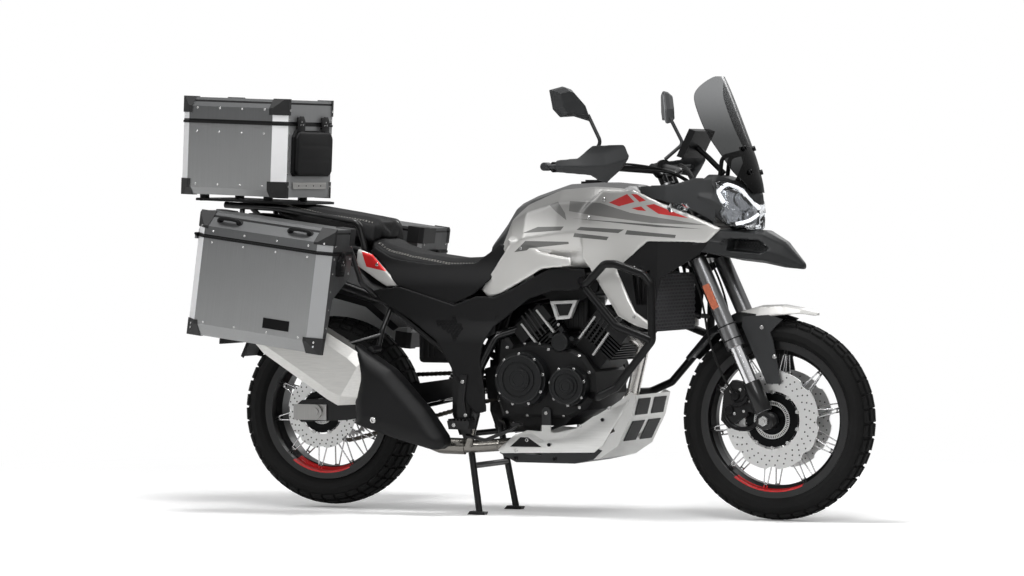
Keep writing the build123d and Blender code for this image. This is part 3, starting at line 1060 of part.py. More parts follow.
mudguard = ruled([mud_section(a, h) for a, h in mud_table])
mud_struts = [rod((-700, y, 725), (-700, y, 880), 7) for y in (-50, 50)]
plate_arm = slab([(-960, 926), (-1004, 940), (-1088, 700), (-1102, 560), (-1094, 558), (-1076, 690), (-975, 905)], -22, 22)
plate = slab([(-1100, 548), (-1104, 549), (-1090, 712), (-1086, 711)], -95, 95)
tray_table = [  # (x, then half width and z, lowest first)
    (-470, (88, 742), (110, 752), (112, 786), (96, 796)),
    (-560, (96, 800), (116, 812), (116, 884), (100, 892)),
    (-700, (96, 858), (116, 872), (116, 914), (100, 924)),
    (-880, (84, 904), (104, 920), (104, 976), (88, 984)),
    (-1010, (56, 922), (72, 936), (72, 984), (56, 992)),
]
tray = ruled([shell_section(x, *levels) for x, *levels in tray_table])
tray = tray.cut(main_frame, rider_seat, pillion_seat, *parts["luggage_racks"])
tray = max(tray.solids(), key=lambda s: s.volume)
tail_lamp = slab([(-1040, 938), (-1050, 942), (-1052, 980), (-1040, 986), (-1008, 986), (-1008, 938)], -58, 58)
tail_lamp = tail_lamp.cut(tray, *parts["luggage_racks"])
rear_body = fuse([tray, mudguard, plate_arm, plate] + mud_struts) - tail_lamp
keep("tail_lamp", tail_lamp)
keep("rear_mudguard", max(rear_body.cut(main_frame, *parts["luggage_racks"]).solids(), key=lambda s: s.volume))
shock_way = (shock_head - shock_foot).normalized()
coils = [rod(shock_foot + shock_way * (60 + 20 * k), shock_foot + shock_way * (69 + 20 * k), 36, 20) for k in range(9)]
shock = fuse([rod(shock_foot, shock_head, 22), rod(shock_foot + shock_way * 46, shock_foot + shock_way * 56, 38),
              rod(shock_foot + shock_way * 240, shock_foot + shock_way * 250, 38)] + coils)
keep("rear_shock", shock.cut(main_frame, swingarm))
rear_caliper = slab([(-600, 316), (-560, 360), (-566, 410), (-618, 424), (-640, 380), (-628, 330)], -112, -84)
rear_slot = disc_y(rear_disc_radius + clearance, rear_disc_y - 2.5 - clearance, rear_disc_y + 2.5 + clearance, rear_axle)
caliper_arm = slab([(-640, 380), (-628, 330), (-660, 336), (-690, 350), (-680, 372)], -arm_y[0], -103.5)
keep("rear_caliper", fuse([rear_caliper, caliper_arm]) - rear_slot)

signal_side = [(596, 1000), (640, 1004), (650, 1014), (640, 1026), (600, 1028), (588, 1014)]
front_signal = fuse([slab(signal_side, -236, -196), rod((620, -130, 1028), (620, -200, 1016), 9)])
rear_signal = fuse([slab([(-1066, 736), (-1040, 738), (-1034, 750), (-1042, 764), (-1066, 766), (-1074, 750)], -132, -94),
                    rod((-1056, -16, 752), (-1056, -98, 751), 8)])
front_signal = front_signal.cut(*parts["nose_fairing"], *parts["beak"], *parts["headlamp"])
front_signal = max(front_signal.solids(), key=lambda s: s.volume)
rear_signal = max(rear_signal.cut(*parts["rear_mudguard"]).solids(), key=lambda s: s.volume)
keep("turn_signals", both(front_signal), both(rear_signal))

for name, solids in parts.items():
    export_step(Compound(solids), f"parts/{name}.step")
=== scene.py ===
import math

import bpy
from mathutils import Matrix, Vector


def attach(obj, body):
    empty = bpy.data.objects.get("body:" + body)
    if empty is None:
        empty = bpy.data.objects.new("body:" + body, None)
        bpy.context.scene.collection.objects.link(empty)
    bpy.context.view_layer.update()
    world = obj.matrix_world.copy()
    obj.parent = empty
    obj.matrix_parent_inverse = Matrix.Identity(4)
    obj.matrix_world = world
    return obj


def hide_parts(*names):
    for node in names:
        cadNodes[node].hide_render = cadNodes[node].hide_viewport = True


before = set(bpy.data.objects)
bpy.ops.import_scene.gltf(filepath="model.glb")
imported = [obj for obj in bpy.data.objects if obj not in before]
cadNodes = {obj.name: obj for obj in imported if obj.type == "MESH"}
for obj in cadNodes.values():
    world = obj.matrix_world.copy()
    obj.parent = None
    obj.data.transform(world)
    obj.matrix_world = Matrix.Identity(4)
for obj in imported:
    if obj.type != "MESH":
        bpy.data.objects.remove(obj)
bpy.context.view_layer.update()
print("frame loaded:", len(cadNodes), "nodes")

frontAxle, rearAxle = (0.886, 0.328), (-0.714, 0.328)  # ahead and up, in metres


# one socket of a node tree, so that shader sums read as sums
class Value:
    def __init__(self, tree, socket):
        self.tree = tree
        self.socket = socket

    def node(self, kind, settings=None, inputs=None, output=0):
        return addNode(self.tree, kind, settings, inputs, output)

    def maths(self, operation, first, second=None):
        items = [item for item in (first, second) if item is not None]
        return self.node("ShaderNodeMath", {"operation": operation}, dict(enumerate(items)))

    def __add__(self, other):
        return self.maths("ADD", self, other)

    def __radd__(self, other):
        return self.maths("ADD", other, self)

    def __sub__(self, other):
        return self.maths("SUBTRACT", self, other)

    def __rsub__(self, other):
        return self.maths("SUBTRACT", other, self)

    def __mul__(self, other):
        return self.maths("MULTIPLY", self, other)

    def __rmul__(self, other):
        return self.maths("MULTIPLY", other, self)

    def __truediv__(self, other):
        return self.maths("DIVIDE", self, other)

    def __gt__(self, other):
        return self.maths("GREATER_THAN", self, other)

    def __lt__(self, other):
        return self.maths("LESS_THAN", self, other)

    def __abs__(self):
        return self.maths("ABSOLUTE", self)

    def __mod__(self, other):
        return self.maths("FLOORED_MODULO", self, other)

    def root(self):
        return self.maths("SQRT", self)

    def rise(self, low, high):  # 0 below low, 1 above high, smooth between
        return self.node("ShaderNodeMapRange", {"interpolation_type": "SMOOTHSTEP"},
                         {"Value": self, "From Min": low, "From Max": high})

    def clamped(self):
        return self.node("ShaderNodeClamp", None, {0: self})


def addNode(tree, kind, settings=None, inputs=None, output=0):
    made = tree.nodes.new(kind)
    for key, item in (settings or {}).items():
        setattr(made, key, item)
    for key, item in (inputs or {}).items():
        if isinstance(item, Value):
            tree.links.new(item.socket, made.inputs[key])
        elif isinstance(item, tuple) and len(item) == 3 and made.inputs[key].type == "RGBA":
            made.inputs[key].default_value = (*item, 1)
        else:
            made.inputs[key].default_value = item
    return Value(tree, made.outputs[output])


# a material being painted: colour, roughness and bump from nodes on object coordinates
class Paint:
    def __init__(self, name, **sockets):
        self.material = bpy.data.materials.new(name)
        self.material.use_nodes = True
        self.tree = self.material.node_tree
        self.shader = self.tree.nodes["Principled BSDF"]
        self.place = addNode(self.tree, "ShaderNodeTexCoord", output=3)
        self.set(**sockets)

    def node(self, kind, settings=None, inputs=None, output=0):
        return addNode(self.tree, kind, settings, inputs, output)

    def axes(self, place=None):
        place = place or self.place
        return [self.node("ShaderNodeSeparateXYZ", None, {0: place}, axis) for axis in range(3)]

    def facing(self):  # the surface's normal
        return self.axes(self.node("ShaderNodeTexCoord", output=1))

    def turned(self, centre, angle):  # object coordinates about centre, turned by angle about Y
        moved = self.vectors("SUBTRACT", self.place, centre)
        inputs = {"Vector": moved, "Angle": angle}
        return self.node("ShaderNodeVectorRotate", {"rotation_type": "Y_AXIS"}, inputs)

    def vectors(self, operation, first, second):
        return self.node("ShaderNodeVectorMath", {"operation": operation}, {0: first, 1: Vector(second)})

    def around(self, axle):  # distance from an axle, angle about it and place along it
        ahead, side, upward = self.axes()
        dx, dz = ahead - axle[0], upward - axle[1]
        return (dx * dx + dz * dz).root(), dz.maths("ARCTAN2", dz, dx), side

    def noise(self, scale, detail=3, stretch=None, place=None):
        place = place or self.place
        if stretch:
            place = self.vectors("MULTIPLY", place, stretch)
        return self.node("ShaderNodeTexNoise", None, {"Vector": place, "Scale": scale, "Detail": detail})

    def mix(self, mask, low, high):
        return self.node("ShaderNodeMix", {"data_type": "RGBA"}, {0: mask, 6: low, 7: high}, 2)

    def bump(self, height, depth):
        self.set(Normal=self.node("ShaderNodeBump", None, {"Height": height, "Distance": depth}))

    def set(self, **sockets):
        for key, item in sockets.items():
            socket = self.shader.inputs[key.replace("_", " ")]
            if isinstance(item, Value):
                self.tree.links.new(item.socket, socket)
            elif isinstance(item, tuple):
                socket.default_value = (*item, 1)
            else:
                socket.default_value = item


def rgb(red, green, blue):  # a colour as a screen shows it, made linear
    return tuple(((c / 255 + 0.055) / 1.055) ** 2.4 if c > 10 else c / 255 / 12.92 for c in (red, green, blue))


def shade(colour, factor):
    return tuple(min(1, channel * factor) for channel in colour)


# a finish of one colour: broad colour drift, fine grain in the roughness and the bump
def grained(name, colour, roughness, drift=0.12, grain=420, depth=0.0003, roughDrift=0.12, gloss=0.3,
            **sockets):
    paint = Paint(name, Specular_IOR_Level=gloss, **sockets)
    broad = paint.noise(5, 4)
    fine = paint.noise(grain, 3)
    spread = (roughness - roughDrift / 2 + broad * roughDrift * 0.6 + fine * roughDrift * 0.4).clamped()
    tone = paint.mix(broad.rise(0.3, 0.7), shade(colour, 1 - drift), shade(colour, 1 + drift))
    paint.set(Base_Color=tone, Roughness=spread)
    paint.bump(fine, depth)
    return paint


# bare metal with fine lines across the stretched axis
def brushed(name, colour, roughness, along=(1, 1, 0.02), grain=260, depth=0.0001, drift=0.08, **sockets):
    paint = Paint(name, Metallic=1.0, **sockets)
    lines = paint.noise(grain, 3, stretch=along)
    broad = paint.noise(3, 3)
    tone = (lines * 0.5 + broad * 0.5).rise(0.3, 0.7)
    paint.set(Base_Color=paint.mix(tone, shade(colour, 1 - drift), shade(colour, 1 + drift)),
              Roughness=(roughness - 0.06 + lines * 0.14).clamped())
    paint.bump(lines, depth)
    return paint


def sidesOf(corners):  # each corner with the next one, all the way round
    return list(zip(corners, corners[1:] + corners[:1]))


def insideOutline(ahead, upward, corners):  # 1 inside a convex outline of (ahead, up) in millimetres
    area = sum(a[0] * b[1] - b[0] * a[1] for a, b in sidesOf(corners))
    mask = None
    for start, end in sidesOf(corners if area > 0 else corners[::-1]):
        dx, dz = (end[0] - start[0]) / 1000, (end[1] - start[1]) / 1000
        level = (dx * start[1] - dz * start[0]) / 1000
        edge = (upward * dx - ahead * dz) > level
        mask = edge if mask is None else mask * edge
    return mask


def anyOf(masks):  # 1 where at least one of the masks is 1
    total = masks[0]
    for mask in masks[1:]:
        total = total + mask
    return total.clamped()


# body: silver paint with cut stripes, a red tail patch, a dark spine along the tank and painted shade over the
# upper body, heavier toward the rear
bodyTones = {
    "silver": rgb(208, 207, 204), "dark": rgb(104, 104, 102), "mid": rgb(138, 137, 135),
    "red": rgb(220, 44, 44),
    "shaded": rgb(58, 58, 57), "spine": rgb(22, 23, 24),
}
bodyStripes = [  # a tone, then corners on both flanks in millimetres ahead and up
    ("dark", [[(54, 929), (112, 950), (210, 952), (200, 939)], [(23, 867), (67, 904), (112, 902), (71, 873)],
              [(67, 904), (224, 902), (224, 895), (71, 879)]]),
    ("mid", [[(146, 1020), (180, 1033), (210, 996), (220, 964), (173, 1002)]]),
    ("mid", [[(224, 1035), (338, 1029), (446, 997), (224, 1002)],
             [(224, 1002), (446, 997), (519, 964), (311, 989)], [(446, 997), (701, 957), (519, 964)]]),
    ("dark", [[(271, 951), (426, 943), (405, 931), (257, 941)],
              [(251, 931), (372, 919), (365, 908), (244, 918)],
              [(436, 941), (599, 926), (596, 916), (429, 927)],
              [(237, 979), (519, 960), (685, 945), (539, 951)]]),
    ("red", [[(369, 1030), (432, 1058), (459, 1032), (405, 1018)],
             [(446, 1058), (466, 1057), (498, 1037), (476, 1032)],
             [(449, 1012), (482, 1018), (500, 1003), (472, 1005)],
             [(498, 1021), (526, 1026), (639, 980), (542, 994)]]),
]
tailPatch = [(-540, 866), (-500, 855), (-446, 800), (-520, 815)]


def bodyFinish():
    paint = Paint("bodySilver", Metallic=0.5, Coat_Weight=0.45, Coat_Roughness=0.22)
    ahead, side, upward = paint.axes()
    flakes = paint.noise(900, 2)
    silver = bodyTones["silver"]
    tone = paint.mix(paint.noise(3, 2).rise(0.3, 0.7), shade(silver, 0.93), shade(silver, 1.05))
    for name, outlines in bodyStripes:
        stripe = anyOf([insideOutline(ahead, upward, corners) for corners in outlines])
        tone = paint.mix(stripe * (abs(side) > 0.06), tone, bodyTones[name])
    # painted shade: the upper body darkened toward the shaded tone, more toward the rear
    rearward = 1 - ahead.rise(0.25, 0.45) * 0.7
    shaded = (upward.rise(0.86, 1.0) * rearward * 0.6 + upward.rise(0.95, 1.03) * 0.15).clamped()
    tone = paint.mix(shaded, tone, bodyTones["shaded"])
    tone = paint.mix(insideOutline(ahead, upward, tailPatch), tone, bodyTones["red"])
    spine = (abs(side) < 0.13) * (upward > 0.86) * (ahead < 0.5)
    paint.set(Base_Color=paint.mix(spine, tone, bodyTones["spine"]), Roughness=0.3 + flakes * 0.1)
    paint.bump(flakes, 0.00004)
    return paint


# cases: brushed sheet with a painted light gradient, painted highlights on the folded corners, painted shade on
# the side cases' faces ahead and painted light on the top case's, black corner caps, dark rims under and over
# the lid
caseShape = {  # metres; the fold highlights are painted highlights on the folds that look back and ahead
    # front: painted shade on the side cases' faces ahead, painted light on the top case's
    "side": {"centre": (-0.766, 0, 0.768), "pitch": 7.5, "length": 0.496, "height": 0.410, "outer": 0.490,
             "inner": 0.288, "bends": (rgb(240, 240, 241), rgb(160, 161, 162)), "front": rgb(50, 51, 52)},
    "top": {"centre": (-1.005, 0, 1.2155), "pitch": 2.2, "length": 0.393, "height": 0.327, "outer": 0.207,
            "inner": None, "bends": (rgb(240, 240, 241), rgb(240, 240, 241)), "front": rgb(172, 173, 174)},
    "cap": 0.052, "lid": 0.079, "rim": 0.012,
    # sheet: the two ends of a painted light gradient, darker toward the top and lighter toward the front, with
    # random drift
    "sheet": (rgb(104, 105, 106), rgb(146, 147, 147)), "lines": rgb(210, 210, 210),
    "lidTone": rgb(62, 63, 64), "rimTone": rgb(16, 16, 17), "capTone": rgb(14, 14, 15),
}


def caseSkin(name, shape):
    paint = Paint(name)
    place = paint.turned(shape["centre"], -math.radians(shape["pitch"]))
    ahead, side, upward = paint.axes(place)
    normalX, normalY, _ = paint.facing()
    top = shape["height"] / 2
    lines = paint.noise(300, 3, stretch=(1, 1, 0.01), place=place)
    drift = (paint.noise(1.6, 2) - 0.5) * 0.3
    # painted light: the sheet darker toward the top and lighter toward the front, with random drift
    lightGrade = (0.62 - upward / shape["height"] * 0.9 + ahead / shape["length"] * 0.35 + drift).clamped()
    sheet = paint.mix(lines * 0.12, paint.mix(lightGrade, *caseShape["sheet"]), caseShape["lines"])
    # painted highlights: the folds lit brighter, with their metal turned down
    fold = abs(normalX) * abs(normalY) > 0.22
    # painted shade on the side cases' faces ahead and painted light on the top case's
    front = normalX > 0.8
    flat = paint.mix(front * (lines * 0.3 + 0.55), sheet, shape["front"])
    tone = paint.mix(fold, flat, paint.mix(normalX > 0, *shape["bends"]))
    lid = (upward > top - caseShape["lid"]) * (1 - fold) * (0.55 - front * 0.45)
    tone = paint.mix(lid, tone, caseShape["lidTone"])
    upperRim = abs(upward - top + caseShape["rim"]) < 0.0032
    lowerRim = abs(upward - top + caseShape["lid"]) < 0.006
    tone = paint.mix(anyOf([upperRim, lowerRim]), tone, caseShape["rimTone"])
    cap = caseShape["cap"]
    edges = abs(side) > shape["outer"] - cap
    if shape["inner"]:
        edges = edges + (abs(side) < shape["inner"] + cap)
    capped = ((abs(ahead) > shape["length"] / 2 - cap) * (abs(upward) > top - cap) * edges).clamped()
    paint.set(Base_Color=paint.mix(capped, tone, caseShape["capTone"]),
              Metallic=0.6 * (1 - capped) * (1 - fold * 0.9),
              Roughness=(0.38 + lines * 0.08 + capped * 0.1 - fold * 0.04).clamped())
    paint.bump(lines * (1 - capped), 0.00003)
    return paint


# wheels: black rim with a red arc, bright spokes, black hub
rimArc = {"from": -126, "to": -65, "inside": 0.006, "outside": 0.0235, "beside": 0.022, "red": rgb(196, 24, 26)}


def rimFinish(name, axle, rimRadius, hubRadius):
    paint = Paint(name)
    radius, angle, side = paint.around(axle)
    spokes = (radius > hubRadius) * (radius < rimRadius)
    turn = (angle < math.radians(rimArc["to"])) * (angle > math.radians(rimArc["from"]))
    band = (radius > rimRadius + rimArc["inside"]) * (radius < rimRadius + rimArc["outside"])
    arc = (turn * band * (abs(side) > rimArc["beside"])).clamped()
    fine = paint.noise(300, 2)
    tone = paint.mix(spokes, rgb(8, 8, 9), rgb(205, 205, 206))
    paint.set(Base_Color=paint.mix(arc, tone, rimArc["red"]), Metallic=spokes * 0.95,
              Roughness=0.3 + fine * 0.12 - spokes * 0.12, Coat_Weight=0.12 * (1 - spokes))
    paint.bump(fine, 0.0001)
    return paint


def discFinish(name, axle, radius, rows):  # drilled steel round a dark carrier
    paint = Paint(name, Metallic=0.9)
    reach, angle, _ = paint.around(axle)
    pitch = math.tau / 30
    holes = []
    for row, offset in rows:
        along = ((angle + math.pi + offset * pitch) % pitch - pitch / 2) * row
        out = reach - row
        holes.append((along * along + out * out) < 0.0027 ** 2)
    drilled = anyOf(holes)
    rings = reach.maths("SINE", reach * 2400)
    tone = paint.mix(rings * 0.25 + 0.5, rgb(206, 206, 205), rgb(232, 232, 231))
    tone = paint.mix(reach < radius * 0.57, tone, rgb(20, 21, 22))
    paint.set(Base_Color=paint.mix(drilled, tone, rgb(60, 60, 60)), Roughness=0.28 + paint.noise(1, 2) * 0.1)
    paint.bump(rings - drilled * 4, 0.00006)
    return paint


def tyreFinish(name):
    paint = Paint(name, Specular_IOR_Level=0.2)
    fine = paint.noise(500, 3)
    tone = paint.mix(paint.noise(9, 3), rgb(11, 11, 11), rgb(20, 20, 20))
    paint.set(Base_Color=tone, Roughness=0.7 + fine * 0.15)
    paint.bump(fine, 0.0003)
    return paint


def fenderFinish():  # silver blade, dark stays behind it
    silver = rgb(214, 213, 210)
    paint = grained("fenderSilver", silver, 0.34, grain=900, depth=0.00004, Metallic=0.2, Coat_Weight=0.6,
                    Coat_Roughness=0.12)
    ahead, _, upward = paint.axes()
    stays = ((upward - 0.679 + (ahead - 0.742) * 0.1 < 0.0) * (ahead < 0.83)).clamped()
    paint.set(Base_Color=paint.mix(stays, silver, rgb(24, 25, 26)))
    return paint


def pipeFinish():  # bright headers in front, a darker low run further back, and painted shade on the stretch behind the engine
    bright = rgb(226, 223, 219)
    paint = brushed("steelPipe", bright, 0.2, along=(0.1, 1, 1), depth=0.00004)
    ahead, _, upward = paint.axes()
    # painted shade: the stretch behind the engine near black, with its metal turned down
    hidden = ((ahead < 0.12) * (upward > 0.285)).clamped()
    steel = paint.mix(ahead > 0.2, rgb(126, 123, 118), bright)
    paint.set(Base_Color=paint.mix(hidden, steel, rgb(16, 16, 17)), Metallic=0.85 - hidden * 0.7)
    return paint


skidShadows = [  # painted shade on the belly and on the part behind the plate, in millimetres ahead and up
    [(-42, 213), (311, 227), (328, 221), (275, 170), (-10, 170)],
    [(-40, 300), (-40, 420), (180, 420), (180, 300)],
]


def skidFinish():
    alloy = rgb(208, 208, 206)
    paint = brushed("skidAlu", alloy, 0.4, along=(0.04, 1, 1), depth=0.00008)
    ahead, _, upward = paint.axes()
    # painted shade: the belly and the part behind the plate darkened, with their metal turned down
    dark = anyOf([insideOutline(ahead, upward, corners) for corners in skidShadows])
    paint.set(Base_Color=paint.mix(dark, alloy, rgb(44, 45, 46)), Metallic=1 - dark * 0.5)
    return paint


def screenFinish():  # smoked sheet, paler toward the top
    paint = Paint("smokedScreen", Roughness=0.03, IOR=1.3, Transmission_Weight=1.0)
    upward = paint.axes()[2]
    smoke = paint.mix(upward.rise(1.1, 1.22), rgb(30, 31, 32), rgb(74, 75, 75))
    paint.set(Base_Color=paint.mix(upward.rise(1.22, 1.42), smoke, rgb(138, 139, 140)))
    return paint


bodySilver = bodyFinish()
sideSkin, topSkin = caseSkin("sideCaseSkin", caseShape["side"]), caseSkin("topcaseSkin", caseShape["top"])
fenderSilver, steelPipe, skidAlu, smokedScreen = fenderFinish(), pipeFinish(), skidFinish(), screenFinish()
blackPlastic = grained("blackPlastic", rgb(12, 12, 13), 0.5, depth=0.00025, gloss=0.22)
greyPlastic = grained("greyPlastic", rgb(46, 47, 48), 0.46, depth=0.00025)
beakPlastic = grained("beakPlastic", rgb(31, 32, 33), 0.42, depth=0.00025)
frameBlack = grained("frameBlack", rgb(12, 12, 13), 0.34, grain=260, depth=0.0001, Coat_Weight=0.25)
barBlack = grained("barBlack", rgb(5, 5, 6), 0.32, grain=160, depth=0.00006, gloss=0.2, Coat_Weight=0.12,
                   Coat_Roughness=0.1)
engineBlack = grained("engineBlack", rgb(9, 9, 10), 0.5, grain=600, depth=0.0004)
coverGrey = grained("coverGrey", rgb(15, 16, 17), 0.4, grain=700, depth=0.0003)
seatVinyl = grained("seatVinyl", rgb(12, 12, 13), 0.6, grain=700, depth=0.0005, gloss=0.2)
tyreRubber = tyreFinish("tyreRubber")
rubberBlack = grained("rubberBlack", rgb(10, 10, 10), 0.7)
forkGrey = brushed("forkGrey", rgb(124, 124, 125), 0.3, along=(1, 1, 0.05), depth=0.00001, drift=0.03)
chrome = brushed("chrome", rgb(236, 236, 238), 0.12, along=(1, 1, 0.05), depth=0.000005, drift=0.03)
bareSteel = brushed("bareSteel", rgb(168, 167, 165), 0.32)
chainSteel = brushed("chainSteel", rgb(84, 80, 74), 0.42)
sensorSteel = brushed("sensorSteel", rgb(222, 222, 221), 0.42)
silencerAlu = brushed("silencerAlu", rgb(208, 207, 204), 0.42, along=(0.06, 1, 1))
guardAlu = brushed("guardAlu", rgb(210, 210, 208), 0.38, along=(0.04, 1, 1), depth=0.00006)
machined = grained("machined", rgb(186, 186, 185), 0.34, drift=0.05, grain=500, depth=0.00004, Metallic=0.35)
meshBlack = grained("meshBlack", rgb(78, 78, 80), 0.4, grain=300, depth=0.00005, Metallic=0.4)
boltSteel = brushed("boltSteel", rgb(196, 196, 195), 0.25, grain=400, depth=0.00002, drift=0.05)
boltBlack = grained("boltBlack", rgb(22, 22, 23), 0.35, grain=300, depth=0.00005, Metallic=0.6)
stitchThread = grained("stitchThread", rgb(176, 174, 168), 0.7, grain=900)
lampLens = Paint("lampLens", Base_Color=(0.9, 0.92, 0.94), Roughness=0.03, IOR=1.3, Transmission_Weight=1.0)
tailLens = grained("tailLens", rgb(150, 16, 18), 0.15, grain=120, depth=0.0002, Coat_Weight=1.0)
orangeLens = grained("orangeLens", rgb(176, 96, 68), 0.3, grain=90, depth=0.0002, Coat_Weight=1.0,
                     Coat_Roughness=0.05)
clearLens = Paint("clearLens", Base_Color=(0.96, 0.97, 0.98), Roughness=0.02, IOR=1.42, Transmission_Weight=1.0)
lampChrome = brushed("lampChrome", rgb(120, 122, 126), 0.16, grain=60, depth=0.00001, drift=0.03)
ledWhite = Paint("ledWhite", Base_Color=(0.95, 0.96, 0.97), Roughness=0.25, Emission_Color=(0.95, 0.97, 1.0),
                 Emission_Strength=0.7)
mirrorGlass = brushed("mirrorGlass", rgb(216, 219, 222), 0.02, grain=20, depth=0.0000005, drift=0.01)
displayGlass = grained("displayGlass", rgb(9, 10, 12), 0.06, grain=200, depth=0.000005, roughDrift=0.02,
                       Coat_Weight=1.0)

nodeFinish = {
    bodySilver: ["fuel_tank", "side_panels"],
    sideSkin: ["pannier_left", "pannier_right", "pannier_lid_left", "pannier_lid_right"],
    topSkin: ["topcase", "topcase_lid"],
    blackPlastic: ["case_fittings", "display", "exhaust_shield", "filler_cap", "hand_controls", "inner_panels",
                   "rear_mudguard", "screen_mount", "radiator"],
    greyPlastic: ["nose_fairing", "hand_guards", "fork_guards", "mirrors"],
    beakPlastic: ["beak"],
    frameBlack: ["centre_stand", "footrests", "handlebar", "luggage_racks", "main_frame", "rear_shock",
                 "side_stand", "triple_clamps", "swingarm"],
    barBlack: ["crash_bars"],
    engineBlack: ["engine_case", "engine_cylinders", "front_calipers", "rear_caliper"],
    coverGrey: ["engine_covers"],
    seatVinyl: ["rider_seat", "pillion_seat"],
    rubberBlack: ["case_seals"],
    tyreRubber: ["front_tyre", "rear_tyre"],
    fenderSilver: ["front_mudguard"],
    forkGrey: ["fork_tubes"],
    chrome: ["fork_legs"],
    steelPipe: ["exhaust_pipes"],
    bareSteel: ["rear_axle", "rear_sprocket"],
    chainSteel: ["drive_chain"],
    silencerAlu: ["silencer"],
    skidAlu: ["skid_plate"],
    smokedScreen: ["windshield"],
    lampLens: ["headlamp", "turn_signals"],
    tailLens: ["tail_lamp"],
    rimFinish("frontRimFinish", frontAxle, 0.2105, 0.062): ["front_rim"],
    rimFinish("rearRimFinish", rearAxle, 0.1855, 0.075): ["rear_rim"],
    discFinish("frontDiscFinish", frontAxle, 0.16, [(0.118, 0), (0.132, 0.33), (0.146, 0.66)]): ["front_discs"],
    discFinish("rearDiscFinish", rearAxle, 0.132, [(0.098, 0), (0.110, 0.33), (0.121, 0.66)]): ["rear_disc"],
}
for paint, names in nodeFinish.items():
    for name in names:
        slots = cadNodes[name].data.materials
        slots.clear()
        slots.append(paint.material)
print("finishes on", sum(len(names) for names in nodeFinish.values()), "nodes")


# modelling helpers: each finished piece sits at the origin, unturned, with its place in its mesh
def mm(*values):
    return Vector(values) / 1000


def clearPicks():
    if bpy.context.object and bpy.context.object.mode != "OBJECT":
        bpy.ops.object.mode_set(mode="OBJECT")
    bpy.ops.object.select_all(action="DESELECT")


def makeActive(piece):
    clearPicks()
    piece.select_set(True)
    bpy.context.view_layer.objects.active = piece


def settle(piece):
    makeActive(piece)
    bpy.ops.object.transform_apply(location=True, rotation=True, scale=True)
    return piece


def pickAll(piece):  # leaves the piece in edit mode with all of it selected
    makeActive(piece)
    bpy.ops.object.mode_set(mode="EDIT")
    bpy.ops.mesh.select_all(action="SELECT")


def pickFaces(piece, test):  # leaves the piece in edit mode with the faces picked by centre and normal
    makeActive(piece)
    bpy.ops.object.mode_set(mode="EDIT")
    bpy.ops.mesh.select_mode(type="FACE")
    bpy.ops.mesh.select_all(action="DESELECT")
    bpy.ops.object.mode_set(mode="OBJECT")
    for face in piece.data.polygons:
        face.select = bool(test(face.center, face.normal))
    bpy.ops.object.mode_set(mode="EDIT")


def leaveEdit():
    bpy.ops.object.mode_set(mode="OBJECT")


def extrude(way):
    bpy.ops.mesh.extrude_region_move(TRANSFORM_OT_translate={"value": tuple(way)})


def tidyMesh(piece):
    pickAll(piece)
    bpy.ops.mesh.remove_doubles(threshold=0.00002)
    bpy.ops.mesh.normals_make_consistent(inside=False)
    leaveEdit()


def modify(piece, kind, **settings):
    makeActive(piece)
    modifier = piece.modifiers.new(kind.title(), kind)
    for key, item in settings.items():
        setattr(modifier, key, item)
    bpy.ops.object.modifier_apply(modifier=modifier.name)


def bevelled(piece, width, segments=2):
    modify(piece, "BEVEL", width=width, segments=segments, limit_method="ANGLE", angle_limit=math.radians(30))
    return piece


def moulded(piece, voxel, rounds):  # one even skin, smoothed
    modify(piece, "REMESH", mode="VOXEL", voxel_size=voxel)
    modify(piece, "SMOOTH", factor=0.5, iterations=rounds)
    return piece


def addBlock(middle, size):
    bpy.ops.mesh.primitive_cube_add(size=1, location=middle, scale=size)
    return settle(bpy.context.active_object)


def addRod(start, end, radius, sides=16, endRadius=None):
    start, end = Vector(start), Vector(end)
    way = end - start
    bpy.ops.mesh.primitive_cone_add(vertices=sides, radius1=radius, radius2=endRadius or radius,
                                    depth=way.length, location=(start + end) / 2,
                                    rotation=way.to_track_quat("Z", "Y").to_euler())
    return settle(bpy.context.active_object)


def addRing(middle, way, radius, thickness, around=32, across=10):
    bpy.ops.mesh.primitive_torus_add(major_segments=around, minor_segments=across, major_radius=radius,
                                     minor_radius=thickness, location=middle,
                                     rotation=Vector(way).to_track_quat("Z", "Y").to_euler())
    return settle(bpy.context.active_object)


def addPlate(corners, way):  # a flat outline of points carried along way
    bpy.ops.mesh.primitive_circle_add(vertices=len(corners), radius=1, fill_type="NGON")
    piece = bpy.context.active_object
    for vertex, corner in zip(piece.data.vertices, corners):
        vertex.co = corner
    pickAll(piece)
    extrude(way)
    leaveEdit()
    tidyMesh(piece)
    return piece


def addTube(points, radius, sides=5):  # smooth round run through a few control points
    line = bpy.data.curves.new("tube", "CURVE")
    line.dimensions = "3D"
    line.bevel_depth = radius
    line.bevel_resolution = sides - 3
    line.use_fill_caps = True
    spline = line.splines.new("NURBS")
    spline.points.add(len(points) - 1)
    for point, place in zip(spline.points, points):
        point.co = (*place, 1)
    spline.order_u = 3
    spline.use_endpoint_u = True
    spline.resolution_u = 8
    piece = bpy.data.objects.new("tube", line)
    bpy.context.collection.objects.link(piece)
    makeActive(piece)
    bpy.ops.object.convert(target="MESH")
    piece = bpy.context.active_object
    tidyMesh(piece)
    return piece


def recessed(piece, wall, depth):  # the face toward the right, inset and sunk
    pickFaces(piece, lambda centre, normal: normal.y < -0.9)
    bpy.ops.mesh.inset(thickness=wall)
    extrude((0, depth, 0))
    leaveEdit()
    return piece


def duplicate(source):
    made = source.copy()
    made.data = source.data.copy()
    bpy.context.collection.objects.link(made)
    return made


